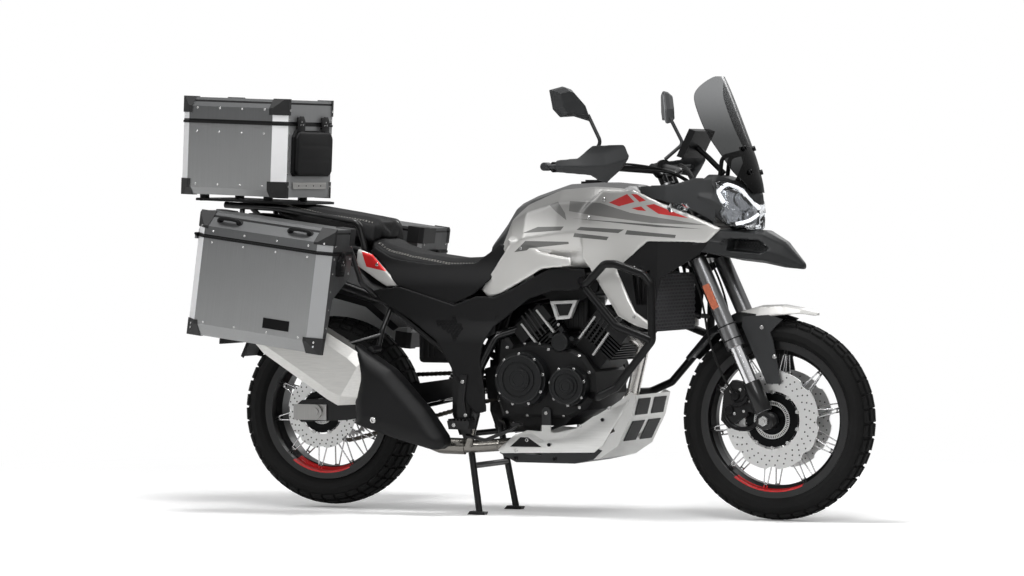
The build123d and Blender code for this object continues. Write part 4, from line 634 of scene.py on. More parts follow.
def copyOfNode(name):
    made = duplicate(cadNodes[name])
    made.hide_set(False)
    made.hide_viewport = made.hide_render = False
    made.parent = None
    made.matrix_world = Matrix.Identity(4)
    tidyMesh(made)
    return made


def joined(pieces):
    clearPicks()
    for piece in pieces:
        piece.select_set(True)
    bpy.context.view_layer.objects.active = pieces[0]
    if len(pieces) > 1:
        bpy.ops.object.join()
    return bpy.context.view_layer.objects.active


def flipped(piece):  # the same piece on the other side of the bike
    made = duplicate(piece)
    made.data.transform(Matrix.Scale(-1, 4, (0, 1, 0)))
    pickAll(made)
    bpy.ops.mesh.flip_normals()
    leaveEdit()
    return made


def bothSides(piece):
    return joined([piece, flipped(piece)])


def scattered(source, places):  # copies at (place, way, size), joined
    made = []
    for middle, way, size in places:
        one = duplicate(source)
        turn = Vector(way).to_track_quat("Z", "Y").to_matrix().to_4x4()
        one.data.transform(Matrix.Translation(middle) @ turn @ Matrix.Scale(size, 4))
        made.append(one)
    return joined(made)


def surfaceAt(names, start, way):  # the first surface met from a point along a direction, and its normal
    best = None
    for name in names:
        target = cadNodes.get(name) or bpy.data.objects[name]
        hit, place, normal, _ = target.ray_cast(start, Vector(way))
        if hit and (best is None or (place - start).length < (best[0] - start).length):
            best = (place, normal if normal.dot(Vector(way)) < 0 else -normal)
    return best


def placesOn(names, starts, size, sink=0.0003):  # where heads sit that are dropped from (start, way)
    found = [surfaceAt(names, start, way) for start, way in starts]
    return [(place - normal * sink, normal, size) for place, normal in filter(None, found)]


def dress(piece, name, paint, body, angle=35):
    piece.name = name
    piece.data.name = name
    piece.data.materials.clear()
    piece.data.materials.append(paint.material)
    makeActive(piece)
    bpy.ops.object.shade_smooth_by_angle(angle=math.radians(angle))
    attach(piece, body)
    return piece


def drop(piece):
    bpy.data.objects.remove(piece, do_unlink=True)


# heads of one metre and grille cells: a short rod whose top face is inset and moved in steps
def addHead(sides, radius, depth, steps):
    bpy.ops.mesh.primitive_cylinder_add(vertices=sides, radius=radius, depth=depth, location=(0, 0, depth / 2))
    piece = settle(bpy.context.active_object)
    pickFaces(piece, lambda centre, normal: normal.z > 0.9)
    for step, amount in steps:
        if step == "inset":
            bpy.ops.mesh.inset(thickness=amount)
        elif step == "move":
            bpy.ops.transform.translate(value=(0, 0, amount))
        else:
            extrude((0, 0, amount))
    leaveEdit()
    return piece


socketBolt = addHead(12, 0.5, 0.4, [("inset", 0.07), ("move", 0.06), ("inset", 0.13), ("extrude", -0.2)])
rivet = addHead(10, 0.5, 0.12, [("inset", 0.12), ("move", 0.12), ("inset", 0.16), ("move", 0.06)])
hexNut = addHead(6, 0.5, 0.36, [("inset", 0.06), ("move", 0.05), ("inset", 0.16), ("extrude", 0.12)])


# moulded covers: the solids' own forms with their facets smoothed
mouldedCovers = {  # nodes, finish, body, voxel in metres, smoothing rounds
    "beakCover": (["beak"], beakPlastic, "chassis", 0.0035, 8),
    "bodyShell": (["fuel_tank", "side_panels"], bodySilver, "chassis", 0.0045, 14),
    "fender": (["front_mudguard"], fenderSilver, "steering", 0.0025, 14),
    "noseCheeks": (["nose_fairing"], greyPlastic, "chassis", 0.003, 5),
}


def thickened(piece, step=0.0025, count=4):  # copies carried inward, for a sheet thick enough to mould
    made = [piece]
    for index in range(1, count + 1):
        layer = duplicate(piece)
        for vertex in layer.data.vertices:
            vertex.co.y -= math.copysign(min(step * index, abs(vertex.co.y)), vertex.co.y)
        made.append(layer)
    return joined(made)


def addMouldedCovers():
    for name, (nodes, paint, body, voxel, rounds) in mouldedCovers.items():
        forms = [thickened(copyOfNode(node)) if node == "side_panels" else copyOfNode(node) for node in nodes]
        piece = moulded(joined(forms), voxel, rounds)
        dress(piece, name, paint, body, 50)
        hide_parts(*nodes)


addMouldedCovers()
print("moulded covers done")


# seats: swollen pads over the base
seats = {
    "rider_seat": {"voxel": 0.005, "pressure": 4.0, "cap": 0.007, "fill": 0.9},
    "pillion_seat": {"voxel": 0.005, "pressure": 4.0, "cap": 0.003, "fill": 0.9},
}


def swollen(piece, pressure, cap):  # blown up as cloth, each point held within cap of its start
    start = [vertex.co.copy() for vertex in piece.data.vertices]
    cloth = piece.modifiers.new("Cloth", "CLOTH")
    cloth.settings.use_pressure = True
    cloth.settings.uniform_pressure_force = pressure
    cloth.settings.effector_weights.gravity = 0
    for step in range(1, 21):
        bpy.context.scene.frame_set(step)
    blown = piece.evaluated_get(bpy.context.evaluated_depsgraph_get()).data
    grown = [vertex.co.copy() for vertex in blown.vertices]
    piece.modifiers.remove(cloth)
    bpy.context.scene.frame_set(1)
    for vertex, old, new in zip(piece.data.vertices, start, grown):
        way = new - old
        vertex.co = old + way * min(1, cap / max(way.length, 0.000001))


def padSeat(node, form):
    piece = moulded(copyOfNode(node), form["voxel"], 10)
    swollen(piece, form["pressure"], form["cap"])
    modify(piece, "SMOOTH", factor=0.5, iterations=4)
    modify(piece, "SUBSURF", levels=1, render_levels=1)
    dress(piece, node + "Pad", seatVinyl, "chassis", 60)
    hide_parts(node)
    return piece


seatPads = {node: padSeat(node, form) for node, form in seats.items()}
print("seats padded")


# stitches: two rows along each seam, dropped onto the pads
seams = {  # seen from above, in millimetres ahead and to the side
    "rider_seat": [[(-500, 96), (-440, 108), (-340, 112), (-220, 106), (-120, 84)],
                   [(-128, -80), (-124, -40), (-122, 0), (-124, 40), (-128, 80)]],
    "pillion_seat": [[(-866, 82), (-790, 100), (-680, 106), (-570, 104), (-520, 94)],
                     [(-866, -76), (-872, -38), (-874, 0), (-872, 38), (-866, 76)]],
}
stitch = {"pitch": 10, "apart": 5, "thread": 0.0009, "length": 0.0055, "proud": 0.0004, "from": 1120}


def alongLine(points, pitch):  # evenly spaced (place, direction) along straight runs
    made, carried = [], 0.0
    for start, end in zip(points, points[1:]):
        start, end = Vector(start), Vector(end)
        run = (end - start).length
        way = (end - start).normalized()
        while carried < run:
            made.append((start + way * carried, way))
            carried += pitch
        carried -= run
    return made


def stitchPlaces(pad, line):
    places = []
    for middle, way in alongLine(line, stitch["pitch"]):
        for offset in (-1, 1):
            across = Vector((-way.y, way.x)) * offset * stitch["apart"] / 2
            above = mm(middle.x + across.x, middle.y + across.y, stitch["from"])
            hit, place, normal, _ = pad.ray_cast(above, Vector((0, 0, -1)))
            if hit:
                run = Vector((way.x, way.y, 0))
                run = (run - normal * run.dot(normal)).normalized()
                places.append((place + normal * stitch["proud"], run, 1))
    return places


def stitchSeat(node):
    bpy.ops.mesh.primitive_cylinder_add(vertices=6, radius=stitch["thread"], depth=stitch["length"])
    thread = settle(bpy.context.active_object)
    places = []
    for line in seams[node]:
        places += stitchPlaces(seatPads[node], line)
        if line[0][1] * line[-1][1] > 0:  # a seam along one side has its like on the other
            places += stitchPlaces(seatPads[node], [(x, -y) for x, y in line])
    dress(scattered(thread, places), node + "Stitches", stitchThread, "chassis")
    drop(thread)


for node in seats:
    stitchSeat(node)
print("stitches sewn")


# windscreen: a curved sheet
screen = {
    "rows": [(826, 1062, 60), (822, 1095, 78), (812, 1130, 108), (802, 1170, 120), (768, 1255, 143),
             (745, 1312, 143), (721, 1371, 142), (708, 1399, 124), (696, 1424, 90), (687, 1440, 48)],
    "across": 8, "sheet": 0.0045, "sweep": 250,
}


def addScreen():
    rows, across = screen["rows"], screen["across"]
    bpy.ops.mesh.primitive_grid_add(x_subdivisions=across, y_subdivisions=len(rows) - 1, size=1)
    piece = bpy.context.active_object
    for index, vertex in enumerate(piece.data.vertices):
        x, z, half = rows[index // (across + 1)]
        share = (index % (across + 1)) / across * 2 - 1
        vertex.co = mm(x - half * half / screen["sweep"] * share * share, half * share, z)
    modify(piece, "SUBSURF", levels=2, render_levels=2)
    tidyMesh(piece)
    outward = piece.data.polygons[len(piece.data.polygons) // 2].normal.x
    modify(piece, "SOLIDIFY", thickness=screen["sheet"], offset=-1 if outward > 0 else 1)
    dress(piece, "windshieldSheet", smokedScreen, "chassis", 60)
    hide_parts("windshield")


addScreen()


# tyres: a rounded casing with rows of tread blocks, swept back into a shallow arrow
tyres = {
    "front_tyre": {"axle": frontAxle, "outer": 0.328, "inner": 0.2395, "half": 0.0585,
                   "around": 42, "across": 14, "body": "front_wheel"},
    "rear_tyre": {"axle": rearAxle, "outer": 0.318, "inner": 0.2145, "half": 0.0835,
                  "around": 40, "across": 16, "body": "rear_wheel"},
    "tread": 0.0085, "groove": 0.0085, "wall": 0.0006, "sweep": 0.045, "treadFrom": 0.42,
}


def addTyre(node):
    form = tyres[node]
    outer = form["outer"] - tyres["tread"]
    middle, minor = (outer + form["inner"]) / 2, (outer - form["inner"]) / 2
    x, z = form["axle"]
    bpy.ops.mesh.primitive_torus_add(major_segments=form["around"], minor_segments=form["across"],
                                     major_radius=middle, minor_radius=minor, location=(x, 0, z),
                                     rotation=(math.pi / 2, 0, 0))
    piece = settle(bpy.context.active_object)
    for vertex in piece.data.vertices:
        vertex.co.y *= form["half"] / minor
        turn = -abs(vertex.co.y) * tyres["sweep"] / form["half"]
        dx, dz = vertex.co.x - x, vertex.co.z - z
        vertex.co.x = x + dx * math.cos(turn) - dz * math.sin(turn)
        vertex.co.z = z + dx * math.sin(turn) + dz * math.cos(turn)
    tidyMesh(piece)
    edge = middle + minor * tyres["treadFrom"]
    pickFaces(piece, lambda centre, normal: math.hypot(centre.x - x, centre.z - z) > edge)
    bpy.ops.mesh.inset(thickness=tyres["groove"] / 2, use_individual=True)
    bpy.ops.mesh.inset(thickness=tyres["wall"], depth=tyres["tread"], use_individual=True)
    leaveEdit()
    dress(piece, node + "Tread", tyreRubber, form["body"], 28)
    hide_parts(node)


addTyre("front_tyre")
addTyre("rear_tyre")
print("tyres done")


# cases: rivets, tie-down loops, latch faces and the backrest pad
def casePlace(shape):
    return Matrix.Translation(shape["centre"]) @ Matrix.Rotation(math.radians(shape["pitch"]), 4, "Y")


sidePlace, topPlace = casePlace(caseShape["side"]), casePlace(caseShape["top"])

rivetRows = {  # millimetres from a case's middle: on its outer walls, then on its walls ahead and behind
    "side": {"ahead": (-176, -60, 60, 176), "levels": (-158, 108), "walls": (-120, -60, 0, 60, 108),
             "corners": [(-228, -182), (228, -182), (-228, -168), (228, -168)]},
    "sideLid": {"ahead": (-176, -60, 60, 176), "levels": (145,), "walls": (150,),
                "corners": [(-226, 158), (226, 158)]},
    "top": {"ahead": (-126, -42, 42, 126), "levels": (-128, 48), "walls": (-128, -84, -40, 4, 48),
            "corners": []},
    "topLid": {"ahead": (-126, -42, 42, 126), "levels": (128,), "walls": (96, 128), "corners": []},
    "size": 0.0075, "sink": 0.0002, "dropFrom": 700,
}


def addCaseRivets(node, place, rows, sides, walls):
    away = rivetRows["dropFrom"]
    spots = [(x, z) for x in rows["ahead"] for z in rows["levels"]] + rows["corners"]
    starts = [((x, side * away, z), (0, -side, 0)) for side in sides for x, z in spots]
    starts += [((way * away, y, z), (-way, 0, 0)) for way, y in walls for z in rows["walls"]]
    turn = place.to_3x3()
    turned = [(place @ mm(*start), turn @ Vector(way)) for start, way in starts]
    made = scattered(rivet, placesOn([node], turned, rivetRows["size"], rivetRows["sink"]))
    dress(made, node + "Rivets", boltSteel, node if "lid" in node else "chassis")


def rivetCases():
    for name, side, inner in (("right", -1, 316), ("left", 1, 256)):
        walls = [(1, side * inner), (1, side * 432)]
        addCaseRivets("pannier_" + name, sidePlace, rivetRows["side"], [side], walls)
        addCaseRivets("pannier_lid_" + name, sidePlace, rivetRows["sideLid"], [side], walls)
    walls = [(way, y) for way in (1, -1) for y in (-160, 160)]
    addCaseRivets("topcase", topPlace, rivetRows["top"], (-1, 1), walls)
    addCaseRivets("topcase_lid", topPlace, rivetRows["topLid"], (-1, 1), walls)


tieDown = {  # half of the loop from its foot: along, out and up
    "half": [(38, 466, 180), (34, 476, 189), (22, 479, 192)], "along": (-130, 130), "radius": 0.0068,
    "foot": (36, 465, 182.5), "lean": (0.67, 0.74), "footRadius": 0.012,
}


def addTieDowns():
    along, out, up = tieDown["foot"]
    for node, side in (("pannier_lid_right", -1), ("pannier_lid_left", 1)):
        way = sidePlace.to_3x3() @ Vector((0, side * tieDown["lean"][0], tieDown["lean"][1]))
        made = []
        for x in tieDown["along"]:
            ends = [(x - a, side * y, z) for a, y, z in tieDown["half"]]
            ends += [(x + a, side * y, z) for a, y, z in reversed(tieDown["half"])]
            made.append(addTube([sidePlace @ mm(*end) for end in ends], tieDown["radius"], 6))
            for foot in (x - along, x + along):
                start = sidePlace @ mm(foot, side * out, up)
                rod = addRod(start - way * 0.002, start + way * 0.003, tieDown["footRadius"])
                made.append(bevelled(rod, 0.001))
        dress(joined(made), node + "Loops", blackPlastic, node)


latch = {  # across and up from the latch's middle; the claw reaches over the lid's edge
    "outline": [(-15, -28), (15, -28), (20, -9), (20, 13), (11, 24), (-11, 24), (-20, 13), (-20, -9)],
    "plate": 2.5, "bar": (3.5, 0, -20), "barSize": (5, 26, 9), "dots": [(-9, 4), (9, 4), (0, 14)], "dot": 0.005,
    "places": [
        {"place": topPlace, "ahead": 207.5, "across": (-92, 92), "up": 76.5, "grow": 1.4,
         "claw": (-3.38, 0, 15.6), "clawSize": (9, 41, 30.2)},
        {"place": sidePlace, "ahead": 259, "across": (-389, 358), "up": 86, "grow": 1,
         "claw": (-1, 0, 36), "clawSize": (9, 24, 20)},
    ],
}


def addLatchFaces():
    plates, dots = [], []
    for form in latch["places"]:
        place = form["place"]
        ahead = place.to_3x3() @ Vector((1, 0, 0))
        for y in form["across"]:
            middle = mm(form["ahead"], y, form["up"])
            corners = [middle + mm(0, a * form["grow"], b * form["grow"]) for a, b in latch["outline"]]
            plate = bevelled(addPlate(corners, mm(latch["plate"], 0, 0)), 0.0012)
            bar = bevelled(addBlock(middle + mm(*latch["bar"]), mm(*latch["barSize"])), 0.0015)
            claw = bevelled(addBlock(middle + mm(*form["claw"]), mm(*form["clawSize"])), 0.002)
            made = joined([plate, bar, claw])
            made.data.transform(place)
            plates.append(made)
            dots += [(place @ (middle + mm(2.4, a, b)), ahead, latch["dot"]) for a, b in latch["dots"]]
    dress(joined(plates), "latchFaces", blackPlastic, "chassis")
    dress(scattered(rivet, dots), "latchDots", boltSteel, "chassis")


backrest = {
    "outline": [(-136, -76), (-136, 38), (-118, 58), (118, 58), (136, 38), (136, -76), (123, -88), (-123, -88)],
    "ahead": 206, "depth": 13, "fill": 0.8,
    "front": 0.212, "middle": -0.015, "halfWidth": 0.136, "halfHeight": 0.073, "crown": 0.006,  # metres
    "channel": 0.002, "channelMiddle": -0.012, "channelOff": 0.024, "channelWidth": 0.003, "channelSpan": 0.8,
    "strip": (200.4, 0, -124), "stripSize": (3, 250, 22), "rivets": (-84, -28, 28, 84), "rivet": 0.0055,
}


def addBackrest():
    outline = [mm(backrest["ahead"], y, z) for y, z in backrest["outline"]]
    pad = addPlate(outline, mm(backrest["depth"], 0, 0))
    modify(pad, "REMESH", mode="VOXEL", voxel_size=0.004)
    for vertex in pad.data.vertices:  # crowned, with two shallow channels
        y = vertex.co.y / backrest["halfWidth"]
        z = (vertex.co.z - backrest["middle"]) / backrest["halfHeight"]
        if vertex.co.x > backrest["front"]:
            vertex.co.x += backrest["crown"] * max(0, (1 - y * y) * (1 - z * z))
            off = abs(vertex.co.z - backrest["channelMiddle"]) - backrest["channelOff"]
            if abs(y) < backrest["channelSpan"]:
                vertex.co.x -= backrest["channel"] * math.exp(-(off / backrest["channelWidth"]) ** 2)
    modify(pad, "SMOOTH", factor=0.5, iterations=6)
    modify(pad, "SUBSURF", levels=1, render_levels=1)
    pad.data.transform(topPlace)
    dress(pad, "backrestPad", seatVinyl, "chassis", 60)
    strip = bevelled(addBlock(mm(*backrest["strip"]), mm(*backrest["stripSize"])), 0.0008)
    strip.data.transform(topPlace)
    dress(strip, "backrestStrip", silencerAlu, "chassis")
    x, _, z = backrest["strip"]
    ahead = topPlace.to_3x3() @ Vector((1, 0, 0))
    dots = [(topPlace @ mm(x + 1.3, y, z), ahead, backrest["rivet"]) for y in backrest["rivets"]]
    dress(scattered(rivet, dots), "stripRivets", boltBlack, "chassis")


rivetCases()
addTieDowns()
addLatchFaces()
addBackrest()
print("cases trimmed")


# mirrors and display
mirror = {  # the plane's ends ahead and to the side, then corners as a share of the way inward and a height
    "outer": (278, -478), "inner": (355, -333), "middle": 1350, "scale": 0.86, "proud": 1.5,
    "outline": [(0, 1391), (0.32, 1403), (0.48, 1396), (0.86, 1341), (1, 1292), (0.61, 1307), (0.27, 1304),
                (0.09, 1329)],
}


def addMirrorGlasses():
    outer, inner = Vector((*mirror["outer"], 0)), Vector((*mirror["inner"], 0))
    across = (inner - outer).normalized()
    ahead = Vector((across.y, -across.x, 0))
    middle = (outer + inner) / 2 + Vector((0, 0, mirror["middle"]))
    corners = []
    for share, z in mirror["outline"]:
        corner = outer + (inner - outer) * share + Vector((0, 0, z))
        corners.append(mm(*(middle + (corner - middle) * mirror["scale"] - ahead * mirror["proud"])))
    glass = bevelled(addPlate(corners, ahead * 0.002), 0.0004, 1)
    dress(bothSides(glass), "mirrorGlasses", mirrorGlass, "steering", 20)


display = {
    "low": (562, 0, 1180), "high": (606, 0, 1270), "half": 82, "margin": 0.06, "buttons": (-70, -58, 70, 58),
}


def addDisplayFace():
    low, high = Vector(display["low"]), Vector(display["high"])
    rise = (high - low).normalized()
    back = Vector((-rise.z, 0, rise.x))
    half, margin = display["half"], display["margin"]
    corners = []
    for y, share in ((-half, margin), (half, margin), (half, 1 - margin), (-half, 1 - margin)):
        corner = low + (high - low) * share + back * 0.2
        corners.append(mm(corner.x, y, corner.z))
    glass = bevelled(addPlate(corners, back * 0.0015), 0.0006)
    dress(glass, "displayFace", displayGlass, "chassis", 20)
    foot = low + (high - low) * 0.02 + back * 0.4
    buttons = [(mm(foot.x + 3, y, foot.z + 3), back, 0.006) for y in display["buttons"]]
    dress(scattered(rivet, buttons), "displayButtons", boltBlack, "chassis")


addMirrorGlasses()
addDisplayFace()


# headlamp: clear cover over a chrome core, two reflectors a side and light strips
headlamp = {
    "wall": 0.0025, "core": (0.745, 0, 1.02), "coreScale": 0.8, "coreBack": 0.012,
    "bowls": [(748, 46, 1036, 30), (772, 34, 984, 26)], "bowlWall": 0.0015, "bowlAhead": 22, "rimAhead": 26,
    "strips": [
        ([(716, -110, 1064), (727, -80, 1091), (752, -69, 1084), (776, -58, 1072), (805, -42, 1038),
          (823, -20, 1010)], 0.0065),
        ([(716, -110, 1064), (726, -113, 1046), (738, -110, 1030)], 0.0065),
        ([(768, -86, 962), (798, -68, 968), (814, -50, 979), (823, -28, 992)], 0.006),
    ],
}


def addLampCover():
    cover = copyOfNode("headlamp")
    modify(cover, "SOLIDIFY", thickness=headlamp["wall"], offset=-1)
    dress(cover, "headlampCover", clearLens, "chassis", 25)
    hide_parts("headlamp")
    core = copyOfNode("headlamp")
    middle = Vector(headlamp["core"])
    for vertex in core.data.vertices:
        vertex.co = middle + (vertex.co - middle) * headlamp["coreScale"] - Vector((headlamp["coreBack"], 0, 0))
    dress(core, "headlampCore", lampChrome, "chassis", 25)


def addLampBowl(x, y, z, radius):  # the back half of a ball, carried forward, with a rim
    bpy.ops.mesh.primitive_uv_sphere_add(segments=24, ring_count=14, radius=radius / 1000, location=mm(x, y, z),
                                         rotation=(0, math.pi / 2, 0))
    bowl = settle(bpy.context.active_object)
    pickFaces(bowl, lambda centre, normal: centre.x > x / 1000 + 0.004)
    bpy.ops.mesh.delete(type="FACE")
    leaveEdit()
    bowl.data.transform(Matrix.Translation(mm(headlamp["bowlAhead"], 0, 0)))
    modify(bowl, "SOLIDIFY", thickness=headlamp["bowlWall"], offset=1)
    return [bowl, addRing(mm(x + headlamp["rimAhead"], y, z), (1, 0, 0), radius / 1000 * 0.98, 0.002, 32, 8)]


def addLampBowls():
    bowls, leds = [], []
    for x, y, z, radius in headlamp["bowls"]:
        for side in (-1, 1):
            bowls += addLampBowl(x, side * y, z, radius)
            leds.append(bevelled(addRod(mm(x + 2, side * y, z), mm(x + 14, side * y, z), 0.008), 0.001))
    dress(joined(bowls), "lampBowls", lampChrome, "chassis", 40)
    dress(joined(leds), "lampLeds", ledWhite, "chassis", 40)


def addLampStrips():
    made = [addTube([mm(*point) for point in points], radius, 6) for points, radius in headlamp["strips"]]
    dress(bothSides(joined(made)), "lampStrips", ledWhite, "chassis", 40)


addLampCover()
addLampBowls()
addLampStrips()
print("lamp, mirrors and display done")


# side covers and seat skirts: moulded sheets that bulge over what lies behind
sideSheets = {  # outline ahead and up, then the distance from the middle at two heights
    "frameCover": {
        "outline": [(-487, 738), (-391, 751), (-190, 691), (-109, 723), (-46, 719), (10, 742), (71, 776),
                    (160, 818), (275, 814), (284, 786), (257, 745), (160, 740), (80, 715), (17, 669),
                    (-46, 619), (-73, 569), (-84, 511), (-68, 413), (-62, 343), (-100, 334), (-136, 371),
                    (-154, 428), (-199, 501), (-245, 575), (-372, 656), (-450, 697)],
        "low": (560, 209), "high": (660, 180), "paint": blackPlastic},
    "seatSkirt": {
        "outline": [(-520, 866), (-452, 806), (-406, 756), (-296, 708), (-205, 688), (-123, 728), (-69, 774),
                    (-30, 836), (-8, 872), (-18, 888), (-44, 892), (-132, 830), (-216, 826), (-300, 826),
                    (-400, 838), (-440, 846), (-500, 880)],
        "low": (748, 172), "high": (842, 138), "paint": seatVinyl},
    "thickness": 9,
}


def addSideSheet(name):
    form = sideSheets[name]
    (lowLevel, lowSide), (highLevel, highSide) = form["low"], form["high"]
    piece = addPlate([mm(x, 0, z) for x, z in form["outline"]], mm(0, sideSheets["thickness"], 0))
    modify(piece, "REMESH", mode="VOXEL", voxel_size=0.004)
    for vertex in piece.data.vertices:
        share = min(1, max(0, (vertex.co.z * 1000 - lowLevel) / (highLevel - lowLevel)))
        share = share * share * (3 - 2 * share)
        vertex.co.y -= (lowSide + (highSide - lowSide) * share) / 1000
    modify(piece, "SMOOTH", factor=0.5, iterations=6)
    dress(bothSides(piece), name, form["paint"], "chassis", 50)


addSideSheet("frameCover")
addSideSheet("seatSkirt")


# heat shield: a moulded cover, fuller away from its edge
heatShield = {
    "outline": [(-504, 563), (-367, 479), (-240, 349), (-177, 262), (-172, 236), (-196, 219), (-222, 218),
                (-360, 254), (-495, 295), (-500, 370), (-486, 444)],
    "side": -292, "depth": 60, "swell": 30, "reach": 46,
}


def addHeatShield():
    edges = [(Vector(start) / 1000, Vector(end) / 1000) for start, end in sidesOf(heatShield["outline"])]
    side, depth = heatShield["side"], heatShield["depth"]
    piece = addPlate([mm(x, side, z) for x, z in heatShield["outline"]], mm(0, depth, 0))
    modify(piece, "REMESH", mode="VOXEL", voxel_size=0.005)
    for vertex in piece.data.vertices:
        if vertex.co.y * 1000 > side + depth / 2:
            continue
        point = Vector((vertex.co.x, vertex.co.z))
        nearest = 1.0
        for start, end in edges:
            share = min(1, max(0, (point - start).dot(end - start) / (end - start).length_squared))
            nearest = min(nearest, (point - start - (end - start) * share).length)
        share = min(1, nearest * 1000 / heatShield["reach"])
        vertex.co.y -= heatShield["swell"] / 1000 * math.sin(share * math.pi / 2)
    modify(piece, "SMOOTH", factor=0.5, iterations=10)
    dress(piece, "heatShield", blackPlastic, "chassis", 50)
    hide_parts("exhaust_shield")


addHeatShield()


# seat nose: the seat's front, rising against the tank
seatNose = {
    "outline": [(-190, 812), (-132, 829), (-44, 892), (-18, 890), (-10, 872), (-40, 830), (-90, 790),
                (-190, 780)],
    "half": 138, "fill": 0.6,
}


def addSeatNose():
    half = seatNose["half"]
    piece = addPlate([mm(x, -half, z) for x, z in seatNose["outline"]], mm(0, half * 2, 0))
    dress(moulded(piece, 0.005, 12), "seatNose", seatVinyl, "chassis", 50)


addSeatNose()


# hand guards: curved shells round the grips, creased along the middle
handGuard = {
    "outline": [(301, 1166), (363, 1173), (403, 1213), (476, 1217), (481, 1180), (469, 1140), (437, 1093),
                (413, 1103), (396, 1118), (301, 1128)],
    "crease": [(301, 1147), (430, 1148), (481, 1172)], "sheet": 7, "side": -470,
    "wrap": {"by": 130, "from": 270, "over": 200},  # inward toward the front
    "ridge": {"out": 12, "outReach": 40, "ahead": 18, "aheadReach": 50, "from": 300, "over": 180},
    "arm": [(263, -468, 1146), (300, -466, 1146), (360, -442, 1147), (430, -385, 1148)],
    "barEnd": (262, 1146),
}


def addHandGuards():
    piece = addPlate([mm(x, 0, z) for x, z in handGuard["outline"]], mm(0, handGuard["sheet"], 0))
    modify(piece, "REMESH", mode="VOXEL", voxel_size=0.003)
    (ax, az), (bx, bz), (cx, cz) = handGuard["crease"]
    wrap, ridge = handGuard["wrap"], handGuard["ridge"]
    for vertex in piece.data.vertices:
        x, z = vertex.co.x * 1000, vertex.co.z * 1000
        crest = az + (bz - az) * (x - ax) / (bx - ax) if x < bx else bz + (cz - bz) * (x - bx) / (cx - bx)
        off = abs(z - crest)
        inward = wrap["by"] * (max(0, x - wrap["from"]) / wrap["over"]) ** 2
        outward = ridge["out"] * max(0, 1 - off / ridge["outReach"])
        ahead = ridge["ahead"] * max(0, 1 - off / ridge["aheadReach"]) * (x - ridge["from"]) / ridge["over"]
        vertex.co.y += (handGuard["side"] + inward - outward) / 1000
        vertex.co.x += ahead / 1000
    modify(piece, "SMOOTH", factor=0.5, iterations=4)
    arm = addTube([mm(*point) for point in handGuard["arm"]], 0.0085, 6)
    x, z = handGuard["barEnd"]
    end = bevelled(addRod(mm(x, -440, z), mm(x, -480, z), 0.0135, 24), 0.002)
    cap = addRing(mm(x, -479, z), (0, 1, 0), 0.0095, 0.002, 24, 8)
    guards = bothSides(joined([piece, arm, end, cap]))
    dress(guards, "handGuards", greyPlastic, "steering", 40)
    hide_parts("hand_guards")


addHandGuards()


# grilles: rows of six-sided rings
grilles = {
    "radiator": {"radius": 0.0072, "wall": 0.0013, "from": (-168, 622), "pitch": (13, 11.2), "count": (26, 16)},
    "beak": {"radius": 0.0062, "wall": 0.0012, "from": (724, 872), "pitch": (10.6, 9.2), "count": (16, 8),
             "outline": [(735, 905), (760, 917), (850, 905), (866, 890), (852, 880), (752, 884)]},
    "cover": {"radius": 0.0058, "wall": 0.0012, "from": (-288, 547.38), "pitch": (13, 11.31), "count": (16, 16),
              "outline": [(-258, 637), (-190, 650), (-154, 622), (-172, 576), (-218, 609)]},
    "radiatorFace": 523.4, "depth": 0.003, "hollow": 0.0026, "dropFrom": 400,
}


def isInside(x, z, corners):
    inside = False
    for (ax, az), (bx, bz) in sidesOf(corners):
        if (az > z) != (bz > z) and x < (bx - ax) * (z - az) / (bz - az) + ax:
            inside = not inside
    return inside


def cellSpots(form):  # every other row stands half a cell further on
    (left, low), (across, up) = form["from"], form["pitch"]
    columns, rows = form["count"]
    spots = []
    for row in range(rows):
        for column in range(columns):
            spot = (left + (column + row % 2 / 2) * across, low + row * up)
            if "outline" not in form or isInside(*spot, form["outline"]):
                spots.append(spot)
    return spots


def addCells(form, places):
    steps = [("inset", form["wall"]), ("extrude", -grilles["hollow"])]
    cell = addHead(6, form["radius"], grilles["depth"], steps)
    made = scattered(cell, places)
    drop(cell)
    return made


def addGrilles():
    form = grilles["radiator"]
    made = addCells(form, [(mm(grilles["radiatorFace"], y, z), (1, 0, 0), 1) for y, z in cellSpots(form)])
    dress(made, "radiatorMesh", meshBlack, "chassis", 20)
    form, away = grilles["beak"], grilles["dropFrom"]
    starts = [(mm(x, side * away, z), (0, -side, 0)) for x, z in cellSpots(form) for side in (-1, 1)]
    made = addCells(form, placesOn(["beakCover"], starts, 1, 0.0008))
    dress(made, "beakMesh", boltBlack, "chassis", 20)
    form = grilles["cover"]
    starts = [(mm(x, -away, z), (0, 1, 0)) for x, z in cellSpots(form)]
    made = addCells(form, placesOn(["frameCover"], starts, 1, 0.0006))
    dress(bothSides(made), "coverCells", boltBlack, "chassis", 20)


addGrilles()
print("grilles done")


# a blank plate on the right case
casePlate = {"middle": (92, -491, -128), "size": (96, 3, 34)}
plate = bevelled(addBlock(mm(*casePlate["middle"]), mm(*casePlate["size"])), 0.0008, 1)
plate.data.transform(sidePlace)
dress(plate, "casePlate", boltBlack, "chassis")


